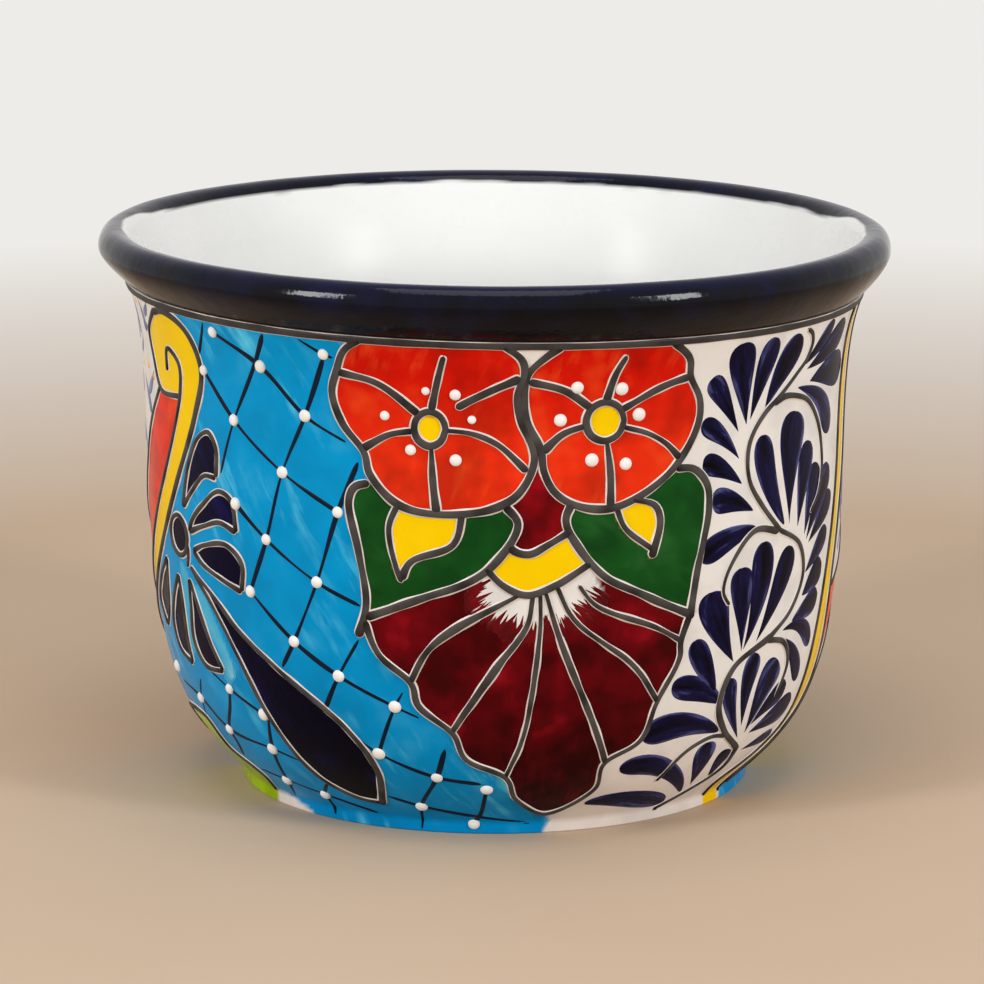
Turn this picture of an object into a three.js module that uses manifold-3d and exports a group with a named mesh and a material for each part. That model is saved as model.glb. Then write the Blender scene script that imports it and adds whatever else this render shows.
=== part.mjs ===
// A talavera planter: a bellied earthenware flowerpot with a rolled cobalt rim, a trimmed foot with a
// drain hole, and a painted wall whose motifs are outlined in raised lines of trailed slip.
// Millimetres, +Z up. The origin is on the ground, on the pot's axis, and the front panel faces -Y.
import * as THREE from "three";
import { mergeVertices } from "three/addons/utils/BufferGeometryUtils.js";
import Module from "manifold-3d";

const wasm = await Module();
wasm.setup();

// Driving sizes of the pot.
const potHeight = 184;
const rollHeight = 18; // the rolled rim, from the neck up to the crest
const rimRadius = 130;
const rimWidestDrop = 6; // from the crest down to the widest point of the roll
const crestInset = 5; // from the widest point in to the crest
const rollThickness = 10.5; // across the roll, from its widest point in to the white inside
const lipUndercut = 2; // how far the inside of the roll is drawn in below its lip
const neckRadius = 121;
const bellyRadius = 115.4;
const bellyDrop = 48.6; // from the neck down to the widest part of the belly
const footRadius = 84.5;
const footEdge = 4; // the short upright edge above the ground
const wallThickness = 8;
const floorThickness = 8;
const footRingWidth = 14;
const footRecess = 3; // how far the floor is above the ground inside the foot ring
const drainHoleRadius = 10;
const coveRise = 9; // the rounded inside corner between the wall and the floor: its height,
const coveReach = 18; // how far it runs in over the floor,
const coveSag = 1.35; // and how far its curve is pulled off the corner
const ringBevel = 1;
const drainBevel = 1.5;

// How full the wall's curve is: the length of each Bezier handle.
const footFlare = new THREE.Vector2(15.9, 18); // outward and upward
const lowerBellyPull = 90;
const upperBellyPull = 33;
const neckFlare = new THREE.Vector2(3, 7.5);
const quarterTurn = 0.55; // the share of a side that makes a Bezier quarter turn nearly circular

const neckHeight = potHeight - rollHeight;
const bellyHeight = neckHeight - bellyDrop;
const floorTop = footRecess + floorThickness;

// The raised slip lines.
const lineHeight = 0.8;
const collarWidth = 2.5;
const outlineWidth = 3.2;
const spokeWidth = 2.9;
const fineWidth = 2.2;
const stemWidth = 2;
const tipWidth = 1.5; // where a line starts or runs out
const hairWidth = 1.1;
const crownShare = 0.55; // the flat top of a wide line, as a share of its width
const layerDrop = 0.06; // how much lower each later layer's top is
const layerRise = 0.02; // and how much higher its underside

const seatGap = 0.3; // between a slip line and the wall it lies on
const sideGap = 0.3; // between two slip lines that meet

// How finely the round forms are divided.
const aroundSteps = 48;
const lowerWallSteps = 9;
const upperWallSteps = 6;
const insideWallSteps = 7;
const rollSteps = 3;
const ringSteps = 8;
const strokeStep = 14; // the longest straight run in a slip line
const strokeTurn = THREE.MathUtils.degToRad(34); // the most it bends in one step

const glazedWhite = new THREE.MeshStandardMaterial({ color: 0xe9e5dc, roughness: 0.2, metalness: 0 });
const cobaltGlaze = new THREE.MeshStandardMaterial({ color: 0x0b0f33, roughness: 0.15, metalness: 0 });
const slip = new THREE.MeshStandardMaterial({ color: 0x4a4543, roughness: 0.5, metalness: 0 });
const terracotta = new THREE.MeshStandardMaterial({ color: 0xb5683f, roughness: 0.85, metalness: 0 });

const pot = new THREE.Group();
const point = (radius, height) => new THREE.Vector2(radius, height);

function addMesh(name, geometry, material, turn = 0) {
  const mesh = new THREE.Mesh(geometry, material);
  mesh.name = name;
  mesh.rotation.z = turn;
  pot.add(mesh);
}

// The outside of the wall in (radius, height): the foot's upright edge, then two Bezier curves that meet
// at the belly and end at the neck under the rim.
const outside = new THREE.CurvePath();
const ground = point(footRadius, 0);
const footTop = point(footRadius, footEdge);
const belly = point(bellyRadius, bellyHeight);
const neck = point(neckRadius, neckHeight);
const lowerCurve = new THREE.CubicBezierCurve(
  footTop,
  footTop.clone().add(footFlare),
  point(bellyRadius, bellyHeight - lowerBellyPull),
  belly,
);
const upperCurve = new THREE.CubicBezierCurve(
  belly,
  point(bellyRadius, bellyHeight + upperBellyPull),
  neck.clone().sub(neckFlare),
  neck,
);
outside.add(new THREE.LineCurve(ground, footTop));
outside.add(lowerCurve);
outside.add(upperCurve);
const outsidePoints = [
  ground,
  ...lowerCurve.getPoints(lowerWallSteps),
  ...upperCurve.getPoints(upperWallSteps).slice(1),
];
const outsideLength = outside.getLength();
const fieldShare = (outsideLength - collarWidth) / outsideLength;

// The share of the outside curve at a height, found by halving.
function shareAtHeight(height) {
  let low = 0;
  let high = 1;
  for (let i = 0; i < 40; i += 1) {
    const middle = (low + high) / 2;
    if (outside.getPoint(middle).y < height) low = middle;
    else high = middle;
  }
  return low;
}

// A point at a depth under the outside curve, square to it.
function insidePoint(share, depth) {
  const surface = outside.getPoint(share);
  const along = outside.getTangent(share);
  return point(surface.x - along.y * depth, surface.y + along.x * depth);
}

function lathe(profile) {
  const closed = [...profile, profile[0].clone()];
  return new THREE.LatheGeometry(closed, aroundSteps).rotateX(Math.PI / 2);
}

const spread = (count, first, last) =>
  Array.from({ length: count + 1 }, (_, i) => THREE.MathUtils.lerp(first, last, i / count));

// The outside profile between two heights, without the curve's points that lie too near the ends.
function outsideBetween(low, high) {
  const near = 0.5;
  const between = outsidePoints.filter((p) => p.y > low + near && p.y < high - near);
  const atHeight = (height) => point(outside.getPoint(shareAtHeight(height)).x, height);
  return [atHeight(low), ...between, atHeight(high)];
}

// The ring that the pot stands on, up to the underside of the floor.
function footRing() {
  const inner = footRadius - footRingWidth;
  return lathe([
    point(inner, footRecess),
    point(inner, ringBevel),
    point(inner + ringBevel, 0),
    point(footRadius - ringBevel, 0),
    ...outsideBetween(ringBevel, footRecess),
  ]);
}

// The rounded inside corner at the foot of the wall, from the wall down to the floor.
function cove() {
  const top = insidePoint(shareAtHeight(floorTop + coveRise), wallThickness);
  const corner = insidePoint(shareAtHeight(floorTop), wallThickness);
  return new THREE.QuadraticBezierCurve(
    top,
    point(corner.x, floorTop + coveSag),
    point(top.x - coveReach, floorTop),
  );
}

// The floor with its drain hole, out to the outside of the wall, whose foot it carries.
function floorSlab() {
  return lathe([
    point(drainHoleRadius, footRecess + drainBevel),
    point(drainHoleRadius + drainBevel, footRecess),
    ...outsideBetween(footRecess, floorTop),
    cove().getPoint(1),
    point(drainHoleRadius + drainBevel, floorTop),
    point(drainHoleRadius, floorTop - drainBevel),
  ]);
}

// The thrown wall, from the floor to the neck.
function potWall() {
  const outer = outsideBetween(floorTop, neckHeight);
  const corner = cove();
  const inner = spread(insideWallSteps, 1, shareAtHeight(floorTop + coveRise))
    .map((share) => insidePoint(share, wallThickness))
    .filter((p) => p.y < neckHeight && p.y > corner.v0.y);
  return lathe([
    ...outer,
    point(neckRadius - wallThickness, neckHeight),
    ...inner,
    ...corner.getPoints(rollSteps + 1),
  ]);
}

// The rolled rim: it swells out of the neck, turns over at its widest point and rounds into the inside.
function rimRoll() {
  const widest = point(rimRadius, potHeight - rimWidestDrop);
  const crest = point(rimRadius - crestInset, potHeight);
  const lip = point(rimRadius - rollThickness, potHeight - rimWidestDrop / 2);
  const inside = point(neckRadius - wallThickness, neckHeight);
  const turn = rimWidestDrop * quarterTurn;
  const under = new THREE.CubicBezierCurve(
    neck,
    neck.clone().add(point(neckFlare.x, neckFlare.x)),
    point(rimRadius, widest.y - turn),
    widest,
  );
  const over = new THREE.CubicBezierCurve(
    widest,
    point(rimRadius, widest.y + turn),
    point(crest.x + crestInset * quarterTurn, potHeight),
    crest,
  );
  const inward = new THREE.CubicBezierCurve(
    crest,
    point(THREE.MathUtils.lerp(crest.x, lip.x, quarterTurn), potHeight),
    point(lip.x + lipUndercut / 2, lip.y + turn / 2),
    lip,
  );
  const down = new THREE.QuadraticBezierCurve(
    lip,
    point(lip.x - lipUndercut, lip.y - rimWidestDrop),
    inside,
  );
  return lathe([
    ...under.getPoints(rollSteps + 1),
    ...over.getPoints(rollSteps).slice(1),
    ...inward.getPoints(rollSteps).slice(1),
    ...down.getPoints(rollSteps - 1).slice(1),
  ]);
}

// The slip line round the neck, directly under the roll.
function collarLine() {
  const half = (collarWidth - 2 * sideGap) / 2;
  const middle = 1 - collarWidth / 2 / outsideLength;
  const at = (offset, lift) => insidePoint(middle + offset / outsideLength, -lift);
  const top = seatGap + lineHeight;
  return lathe([
    at(-half, seatGap),
    at(-half * crownShare, top),
    at(half * crownShare, top),
    at(half, seatGap),
  ]);
}

// Where a point of the painted field lies: degrees round from the front, percent of the way up the field.
// It gives the place on the wall and the direction straight out of it.
function onWall(degrees, percent) {
  const share = THREE.MathUtils.clamp((percent / 100) * fieldShare, 0, 1);
  const flat = outside.getPoint(share);
  const along = outside.getTangent(share);
  const turn = THREE.MathUtils.degToRad(degrees);
  const outward = new THREE.Vector3(Math.sin(turn), -Math.cos(turn), 0);
  return {
    place: outward.clone().multiplyScalar(flat.x).setZ(flat.y),
    out: outward.multiplyScalar(along.y).setZ(-along.x).normalize(),
  };
}

// A stroke of slip: the points its centre line runs through, and its width at the start, middle and end.
// A later layer is a little lower, so it runs into the line that it meets. A loose end is rounded.
const stroke = (layer, widths, ...points) => ({ layer, widths, points });
const evenly = (layer, width, ...points) => stroke(layer, [width, width, width], ...points);
const looseAt = (ends, line) => ({ ...line, ends });

// A ring of slip round a centre, its radii in degrees and percent.
function ring(layer, width, degrees, percent, wide, high) {
  const points = spread(ringSteps, 0, 2 * Math.PI)
    .slice(0, ringSteps)
    .map((a) => [degrees + wide * Math.cos(a), percent + high * Math.sin(a)]);
  return { ...evenly(layer, width, ...points), closed: true };
}

// The stations of a stroke: only as many as its bends and its length need. Its width runs on a parabola
// through the widths at its start, middle and end.
function stations({ widths, points, closed = false }) {
  const flat = points.map(([degrees, percent]) => new THREE.Vector3(degrees, percent, 0));
  const path = new THREE.CatmullRomCurve3(flat, closed, "centripetal");
  const steps = Math.ceil(path.getLength() * 2);
  const fine = path.getSpacedPoints(steps).map((p, i) => {
    const t = i / steps;
    const shares = [(1 - t) * (1 - 2 * t), 4 * t * (1 - t), t * (2 * t - 1)];
    const width = shares.reduce((sum, share, k) => sum + share * widths[k], 0);
    return { ...onWall(p.x, p.y), width };
  });
  const last = fine.length - 1;
  const heading = (i) => {
    const before = closed ? fine[(i + last - 1) % last] : fine[Math.max(i - 1, 0)];
    const after = closed ? fine[(i + 1) % last] : fine[Math.min(i + 1, last)];
    return after.place.clone().sub(before.place).normalize();
  };
  const kept = [];
  let run = 0;
  let lastHeading = heading(0);
  let lastOut = fine[0].out;
  fine.forEach((station, i) => {
    const along = heading(i);
    if (i > 0) run += station.place.distanceTo(fine[i - 1].place);
    const bends = along.angleTo(lastHeading) > strokeTurn && run > station.width / 2;
    const sag = (run * station.out.angleTo(lastOut)) / 8; // how far the run cuts under the wall's curve
    if (i > 0 && i < last && run < strokeStep && sag < seatGap / 3 && !bends) return;
    if (closed && i === last) return;
    if (i === last && run < station.width && kept.length > 1) kept.pop();
    kept.push({ ...station, along });
    run = 0;
    lastHeading = along;
    lastOut = station.out;
  });
  return kept;
}

// The solid of a stroke: a flat-bottomed line with sloping sides, bent onto the wall. Narrow lines come
// to a ridge. With room it is a cutter: the same stroke, larger all round, for another line to stop at.
function strokeGeometry(line, room = 0) {
  const kept = stations(line);
  const rings = [...kept];
  const { layer, ends = "", closed = false } = line;
  const rounded = (station, sign) => {
    const place = station.place.clone().addScaledVector(station.along, (sign * station.width) / 3);
    return { ...station, place, width: station.width / 2 };
  };
  if (ends.includes("start")) rings.unshift(rounded(kept[0], -1));
  if (ends.includes("end")) rings.push(rounded(kept.at(-1), 1));
  const bottom = room ? -room : seatGap + layer * layerRise;
  const top = seatGap + lineHeight - layer * layerDrop + room;
  const isNarrow = Math.max(...line.widths) < outlineWidth;
  const crown = isNarrow ? [0] : [crownShare, -crownShare];
  const section = [[-1, bottom], [1, bottom], ...(room ? [1, -1] : crown).map((across) => [across, top])];
  const corners = rings.flatMap(({ place, out, along, width }) => {
    const side = out.clone().cross(along).normalize();
    const half = width / 2 + room;
    return section.map(([across, lift]) =>
      place.clone().addScaledVector(side, across * half).addScaledVector(out, lift),
    );
  });
  const count = section.length;
  const triangles = [];
  const spans = closed ? rings.length : rings.length - 1;
  for (let i = 0; i < spans; i += 1) {
    const here = count * i;
    const next = count * ((i + 1) % rings.length);
    for (let k = 0; k < count; k += 1) {
      const m = (k + 1) % count;
      triangles.push(here + k, here + m, next + m, here + k, next + m, next + k);
    }
  }
  if (!closed) {
    const end = count * spans;
    for (let k = 1; k < count - 1; k += 1) triangles.push(0, k + 1, k, end, end + k, end + k + 1);
  }
  return new THREE.BufferGeometry().setFromPoints(corners).setIndex(triangles);
}

function solidOf(geometry) {
  const bare = geometry.clone();
  bare.deleteAttribute("normal");
  bare.deleteAttribute("uv");
  const merged = mergeVertices(bare, 1e-4);
  return new wasm.Manifold(
    new wasm.Mesh({
      numProp: 3,
      vertProperties: new Float32Array(merged.attributes.position.array),
      triVerts: new Uint32Array(merged.index.array),
    }),
  );
}

function geometryOf(solid) {
  const mesh = solid.getMesh();
  const geometry = new THREE.BufferGeometry();
  geometry.setAttribute("position", new THREE.BufferAttribute(mesh.vertProperties, 3));
  geometry.setIndex(new THREE.BufferAttribute(mesh.triVerts, 1));
  geometry.computeVertexNormals();
  return geometry;
}

const joined = (solids) => solids.reduce((all, one) => all.add(one));
const linesOf = (strokes) => joined(strokes.map((line) => solidOf(strokeGeometry(line))));
const roomFor = (strokes) => joined(strokes.map((line) => solidOf(strokeGeometry(line, sideGap))));

// What the lines may not reach into: the collar line and the roll above it.
function aboveField() {
  const edge = outside.getPoint(fieldShare);
  const low = edge.y - sideGap;
  return solidOf(
    lathe([
      point(edge.x - wallThickness, low),
      point(rimRadius + wallThickness, low),
      point(rimRadius + wallThickness, potHeight),
      point(edge.x - wallThickness, potHeight),
    ]),
  );
}

const flowerPair = [
  evenly(
    0, outlineWidth,
    [-20, 101], [-23, 98], [-24.5, 94], [-25.5, 90], [-24, 84.5], [-20.5, 79.5], [-19.5, 75.5],
    [-15, 70.5], [-9, 69], [-1, 70], [3.5, 73], [6, 79.5], [4, 86.5], [3.5, 91], [4.5, 95], [4, 98],
    [1, 101],
  ),
  evenly(2, spokeWidth, [-24.5, 94], [-18, 92.5], [-11.5, 87]),
  looseAt("start", stroke(2, [tipWidth, spokeWidth, spokeWidth], [-7.5, 98.5], [-8.5, 94], [-9.7, 87.8])),
  looseAt("end", evenly(2, spokeWidth, [4, 94.5], [-1.5, 91.5], [-6, 88.5])),
  stroke(2, [tipWidth, fineWidth, spokeWidth], [-8, 84.5], [-3.5, 84], [0.5, 82], [5, 77]),
  stroke(2, [tipWidth, spokeWidth, spokeWidth], [-9.7, 81.4], [-9.5, 74.5], [-9, 69]),
  stroke(2, [fineWidth, spokeWidth, spokeWidth], [-12.5, 84], [-16.5, 83], [-21, 80]),
  ring(0, spokeWidth, -10, 84.5, 2.4, 3.2),
  evenly(
    1, outlineWidth,
    [10, 101], [7.5, 98.5], [5, 95], [4.5, 90], [5, 86], [7, 81], [7.5, 77], [9, 73.5], [12, 71],
    [18, 70], [25.5, 73.5], [30, 78], [33, 84.5], [33, 89], [31, 93.5], [30.5, 97], [27, 101],
  ),
  evenly(2, spokeWidth, [5, 93.7], [10.5, 92], [15, 88.5]),
  looseAt("start", stroke(2, [tipWidth, spokeWidth, spokeWidth], [20, 98.5], [18.5, 95], [17, 89.5])),
  evenly(2, spokeWidth, [31, 93.5], [26.5, 92], [19.5, 88]),
  stroke(2, [tipWidth, fineWidth, spokeWidth], [19.8, 85], [24, 83.5], [27, 81.5], [30, 78]),
  stroke(2, [tipWidth, spokeWidth, spokeWidth], [17.4, 82.5], [18, 76.5], [18, 70]),
  stroke(2, [fineWidth, spokeWidth, spokeWidth], [14.2, 85.5], [10.5, 84], [7.2, 80.5]),
  ring(0, spokeWidth, 17, 86, 3, 3.6),
];

const leftLeaf = [
  looseAt(
    "end",
    evenly(0, outlineWidth, [-19.5, 74], [-22, 73], [-23, 70.5], [-21.5, 61], [-20.5, 51.5], [-22, 45]),
  ),
  evenly(1, outlineWidth, [-20.7, 49], [-12, 53], [-3.5, 57], [0.5, 61], [3.5, 67.5], [1.5, 71]),
];

const rightLeaf = [
  looseAt(
    "end",
    evenly(0, outlineWidth, [29, 76.5], [32.5, 76], [35, 73], [35.5, 68.5], [33.5, 57], [32.5, 47.5]),
  ),
  evenly(1, outlineWidth, [32.7, 48.5], [23.5, 53.5], [17.5, 57], [13, 63], [11, 68], [12, 71.5]),
];

const leftHeart = [
  looseAt("end", evenly(0, fineWidth, [-15, 70.5], [-16.5, 66], [-15.5, 59], [-14.5, 56])),
  stroke(1, [outlineWidth, spokeWidth, fineWidth], [-14.6, 56.5], [-13, 60], [-6.5, 63.5], [-5, 69.5]),
];

const rightHeart = [
  looseAt(
    "end",
    stroke(0, [fineWidth, outlineWidth, spokeWidth], [21.5, 71.5], [25.5, 70], [26.5, 67], [25, 60]),
  ),
  evenly(1, fineWidth, [19, 70], [20.5, 66], [25.5, 61.5]),
];

const crescent = [evenly(0, spokeWidth, [2, 63.5], [3.5, 62.3], [5.5, 62], [8, 63.5], [11.8, 66])];

const shell = [
  evenly(0, spokeWidth, [-1.5, 59.5], [1.5, 56], [5, 54.3], [9.5, 56], [15, 60]),
  evenly(
    0, outlineWidth,
    [-21, 48.5], [-18.5, 42], [-13.5, 37], [-12.5, 32.5], [-7, 27], [-5, 21.5], [2, 17], [4, 10.5],
    [10.5, 5], [19, 12.5], [19.5, 19.5], [25.5, 24], [27.5, 32], [31, 40.5], [31, 43.5], [32.5, 48.5],
  ),
  stroke(1, [tipWidth, spokeWidth, fineWidth], [4, 54.6], [-6, 48], [-10.5, 43.5], [-13.7, 37]),
  stroke(2, [tipWidth, spokeWidth, fineWidth], [6, 54.5], [5, 48.5], [0.5, 41], [-7.3, 27]),
  stroke(3, [tipWidth, fineWidth, fineWidth], [7, 54.7], [7, 47], [5, 28], [1.8, 17]),
  stroke(2, [tipWidth, spokeWidth, fineWidth], [7.8, 55], [10, 46.5], [16, 30], [19.7, 19.5]),
  stroke(1, [tipWidth, fineWidth, fineWidth], [9.5, 56], [12.5, 49.5], [22.5, 40], [27.7, 32]),
  looseAt(
    "start",
    stroke(1, [tipWidth, fineWidth, fineWidth], [13, 56], [16, 52], [26, 47], [31.2, 43.5]),
  ),
];

// The horn-shaped petal between two panels. Its yellow edges are bands with a line on both sides, and the
// right one curls over at the top.
const horn = [
  looseAt(
    "end",
    stroke(
      0, [outlineWidth, spokeWidth, fineWidth],
      [-66, 98.5], [-61, 99.5], [-55.5, 97], [-52.5, 90], [-55, 81.5], [-59, 72.5], [-66, 60],
      [-75, 47.5], [-93, 28], [-112, 10], [-119, 3.5],
    ),
  ),
  looseAt(
    "start",
    evenly(
      1, fineWidth,
      [-64, 87.5], [-63, 92], [-59.5, 90], [-59.5, 85], [-63.5, 74.5], [-72, 60], [-85, 43],
      [-99, 28], [-110.5, 16],
    ),
  ),
  evenly(2, fineWidth, [-65.8, 98.8], [-70.5, 94], [-70, 89], [-67.5, 83.5], [-59.5, 83.5]),
  evenly(3, fineWidth, [-68, 84], [-74.5, 76], [-82.5, 62.5], [-94, 50], [-104, 44.8]),
  evenly(
    2, fineWidth,
    [-97, 100.5], [-99, 85], [-100.5, 70], [-103, 58], [-104.7, 48], [-104.5, 38], [-104, 31],
    [-105.5, 22], [-112, 13.8], [-120, 5.5], [-120.5, 1.5],
  ),
];

// The other side of the horn's left edge.
const hornEdge = [
  looseAt(
    "end",
    evenly(
      0, fineWidth,
      [-105.2, 100.5], [-105.8, 85], [-106.5, 70], [-108, 58], [-109.8, 48], [-111, 38],
      [-111.5, 28], [-113, 20], [-118.5, 13.8], [-126.5, 6], [-126.5, 1.8],
    ),
  ),
];

// One petal of the daisy: two strokes from its inner tip that meet at its outer corner.
const petal = (tip, upper, corner, lower) => [
  looseAt("end", evenly(1, fineWidth, tip, ...upper, corner)),
  evenly(2, fineWidth, tip, ...lower, corner),
];

// A daisy with a ring for its eye and six petals.
const daisy = [
  ring(0, fineWidth, -62, 57, 3.2, 3.8),
  looseAt("end", stroke(3, [fineWidth, stemWidth, tipWidth], [-58.9, 56.5], [-59, 53.6], [-59.4, 51.4])),
  ...petal(
    [-61, 60.6],
    [[-59.4, 65], [-57.5, 71.5], [-54.5, 77], [-51.5, 78.6], [-49.5, 76]],
    [-49.6, 70.4],
    [[-59.6, 63.4], [-56.5, 66.7], [-53, 70.2]],
  ),
  ...petal([-58.9, 58], [[-57, 61], [-53.5, 64.7], [-49, 68], [-46, 66.8]], [-45, 61], [[-53.5, 60.7], [-49, 62.2]]),
  ...petal([-58.7, 55.6], [[-53.5, 57], [-47.5, 58.3], [-44, 55.5]], [-44.4, 50], [[-54.5, 53.2], [-49.5, 51.5]]),
  ...petal([-59.3, 52.4], [[-59.4, 44], [-60.1, 37], [-57.5, 32.8]], [-52, 32.9], [[-57.2, 45], [-54.8, 38.5]]),
  ...petal([-62.9, 53], [[-64, 48.5], [-66.7, 43.7], [-68.4, 38], [-67, 33.9]], [-62.6, 32], [[-62.7, 45], [-62.8, 38]]),
  ...petal([-64.6, 54.6], [[-69, 50.4], [-73, 46.3], [-75.8, 41.5]], [-72.8, 37], [[-68, 50], [-69, 44.5], [-70.4, 40]]),
];

// The long drop that hangs from the daisy.
const drop = [
  looseAt(
    "end",
    stroke(
      0, [tipWidth, fineWidth, outlineWidth],
      [-57.6, 51.4], [-51.2, 47], [-46.8, 42.9], [-38, 36.5], [-25.5, 26], [-21.5, 17], [-23.5, 6.5],
    ),
  ),
  stroke(
    1, [tipWidth, fineWidth, fineWidth],
    [-57.6, 51.4], [-52, 45], [-47.1, 37.1], [-41.5, 24.5], [-35, 12.5], [-28.5, 7.8], [-23, 7],
  ),
];

const baseLeaf = [
  evenly(0, fineWidth, [-71.5, 20.5], [-65, 19.5], [-62.5, 13], [-58, 10], [-56, 7], [-57, 2.5]),
  evenly(1, fineWidth, [-71.3, 20.4], [-79, 18.5], [-82, 12], [-88, 9], [-91, 3]),
];

// The curling stems that carry the feather strokes of the spray.
const sprayStem = [
  looseAt(
    "start",
    stroke(
      0, [tipWidth, fineWidth, fineWidth],
      [55.7, 99.3], [57.4, 98.2], [58.3, 96], [57.3, 93], [54.9, 90.7], [50.6, 87.1], [47, 84.4],
      [44.2, 80.5], [43.4, 77], [44, 72], [47, 67], [52, 61],
    ),
  ),
  evenly(1, fineWidth, [51.5, 61.5], [58, 57.5], [60, 51.5], [57, 45], [51, 40.5]),
  evenly(0, spokeWidth, [52, 41], [43, 36.5], [41, 29], [44, 23], [50.5, 17]),
  looseAt(
    "end",
    stroke(1, [spokeWidth, stemWidth, tipWidth], [50.3, 18], [50, 12], [44, 6.5], [39, 3.5]),
  ),
  looseAt(
    "end",
    stroke(
      1, [spokeWidth, stemWidth, hairWidth],
      [49, 86], [52.1, 86.8], [55.5, 86.3], [59, 84.8], [62, 81.5], [64, 77.8], [65.3, 71], [64.2, 66.3],
      [61.2, 62.8],
    ),
  ),
  looseAt(
    "end",
    stroke(
      2, [spokeWidth, stemWidth, hairWidth],
      [51.5, 61.3], [45.5, 62.5], [40.5, 57], [39, 52], [40.5, 49],
    ),
  ),
  looseAt(
    "end",
    stroke(2, [spokeWidth, fineWidth, hairWidth], [50.5, 40.3], [56, 38.5], [58.5, 34], [57, 27]),
  ),
  looseAt(
    "end",
    stroke(2, [stemWidth, stemWidth, hairWidth], [45, 21.5], [41, 22], [36, 19.5], [32, 12.5]),
  ),
];

const back = Math.PI;
const fieldTop = aboveField();

addMesh("foot_ring", footRing(), terracotta);
addMesh("floor_slab", floorSlab(), terracotta);
addMesh("pot_wall", potWall(), glazedWhite);
addMesh("rim_roll", rimRoll(), cobaltGlaze);
addMesh("collar_line", collarLine(), slip);

// Each outline stops short of the ones laid before it.
const outlines = [
  ["flower_pair_outline", flowerPair, []],
  ["left_leaf_outline", leftLeaf, [flowerPair]],
  ["right_leaf_outline", rightLeaf, [flowerPair]],
  ["left_heart_outline", leftHeart, [flowerPair]],
  ["right_heart_outline", rightHeart, [flowerPair]],
  ["crescent_line", crescent, [leftLeaf, rightLeaf]],
  ["shell_outline", shell, [leftLeaf, rightLeaf]],
  ["horn_outline", horn, []],
  ["horn_edge_line", hornEdge, [horn]],
  ["daisy_outline", daisy, [horn]],
  ["drop_outline", drop, [daisy]],
  ["base_leaf_outline", baseLeaf, []],
  ["spray_stem", sprayStem, []],
];
for (const [name, strokes, earlier] of outlines) {
  const cutters = earlier.map(roomFor);
  const solid = [fieldTop, ...cutters].reduce((rest, cutter) => rest.subtract(cutter), linesOf(strokes));
  const geometry = geometryOf(solid);
  addMesh("front_" + name, geometry, slip);
  addMesh("back_" + name, geometry, slip, back);
}

export default pot;
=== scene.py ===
# A glazed earthenware planter in the talavera manner. The numbers below are in millimetres; places on
# the wall are [degrees round from the front, percent of the way up the painted field].
import math
import bpy
import numpy as np
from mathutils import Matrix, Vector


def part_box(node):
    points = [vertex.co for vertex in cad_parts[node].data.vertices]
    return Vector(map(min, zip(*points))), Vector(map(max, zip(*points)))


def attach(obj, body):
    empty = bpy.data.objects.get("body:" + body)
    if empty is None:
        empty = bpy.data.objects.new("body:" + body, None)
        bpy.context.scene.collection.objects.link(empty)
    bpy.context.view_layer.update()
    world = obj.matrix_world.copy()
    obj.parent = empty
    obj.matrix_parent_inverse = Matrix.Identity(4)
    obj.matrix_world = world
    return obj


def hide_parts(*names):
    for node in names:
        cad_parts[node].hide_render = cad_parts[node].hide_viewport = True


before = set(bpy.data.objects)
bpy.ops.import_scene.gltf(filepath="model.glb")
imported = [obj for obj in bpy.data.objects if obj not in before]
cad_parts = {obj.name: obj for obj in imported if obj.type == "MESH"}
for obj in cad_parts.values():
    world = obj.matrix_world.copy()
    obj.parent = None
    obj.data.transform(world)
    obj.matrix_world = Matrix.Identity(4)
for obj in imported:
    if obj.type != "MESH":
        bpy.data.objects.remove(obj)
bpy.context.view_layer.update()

mm = 0.001


def high(node, axis):
    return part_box(node)[1][axis] / mm


# The pot's form. A lobe is a share, a count round the pot, a start and, if it also runs up the wall, a rise.

potShape = {
    "footRadius": high("foot_ring", 0),
    "footEdge": 4,
    "footFlare": (15.9, 18),
    "footRing": 14,
    "footBevel": 0.4,
    "recess": high("foot_ring", 2),
    "floorTop": high("floor_slab", 2),
    "drainRadius": 10,
    "drainBevel": 1.5,
    "belly": (115.4, 117.4),
    "lowerPull": 90,
    "upperPull": 33,
    "neck": (high("pot_wall", 0), high("pot_wall", 2)),
    "neckFlare": (3, 7.5),
    "wall": 8,
    "evenWallEnd": 12,  # how far below the neck the wall stops being even
    "coveRise": 9,
    "coveReach": 18,
    "coveSag": 1.35,
    "rimRadius": high("rim_roll", 0),
    "crest": high("rim_roll", 2),
    "widestDrop": 6,
    "crestInset": 5,
    "rollThickness": 10.5,
    "rollFullness": 0.55,
    "lipGuide": (2.4, 5),
    "lipTurn": 1,
    "collar": 2.5,
    "neckLean": 2.1,  # how much lower the neck is on the right than in front
    "crestLean": 0.7,
    "wallWave": 0.16,  # the unevenness that a hand-thrown wall keeps, whole from 40 up
    "wallWaveWhole": 40,
    "wallLobes": [(1, 3, 0, 31), (0.6, 7, 1, -17)],
    "rimWave": 0.13,  # and that of the rim, which begins at 150 and is whole at 180
    "rimWaveSpan": (150, 180),
    "rimLobes": [(1, 9, 0, 25), (0.7, 23, 2)],
}


def bezier(count, *handles):
    # Handle k of n weighs C(n, k) (1 - t)^(n - k) t^k.
    t = np.linspace(0, 1, count)[:, None]
    n = len(handles) - 1
    return sum(math.comb(n, k) * (1 - t) ** (n - k) * t**k * np.array(p, float) for k, p in enumerate(handles))


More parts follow.
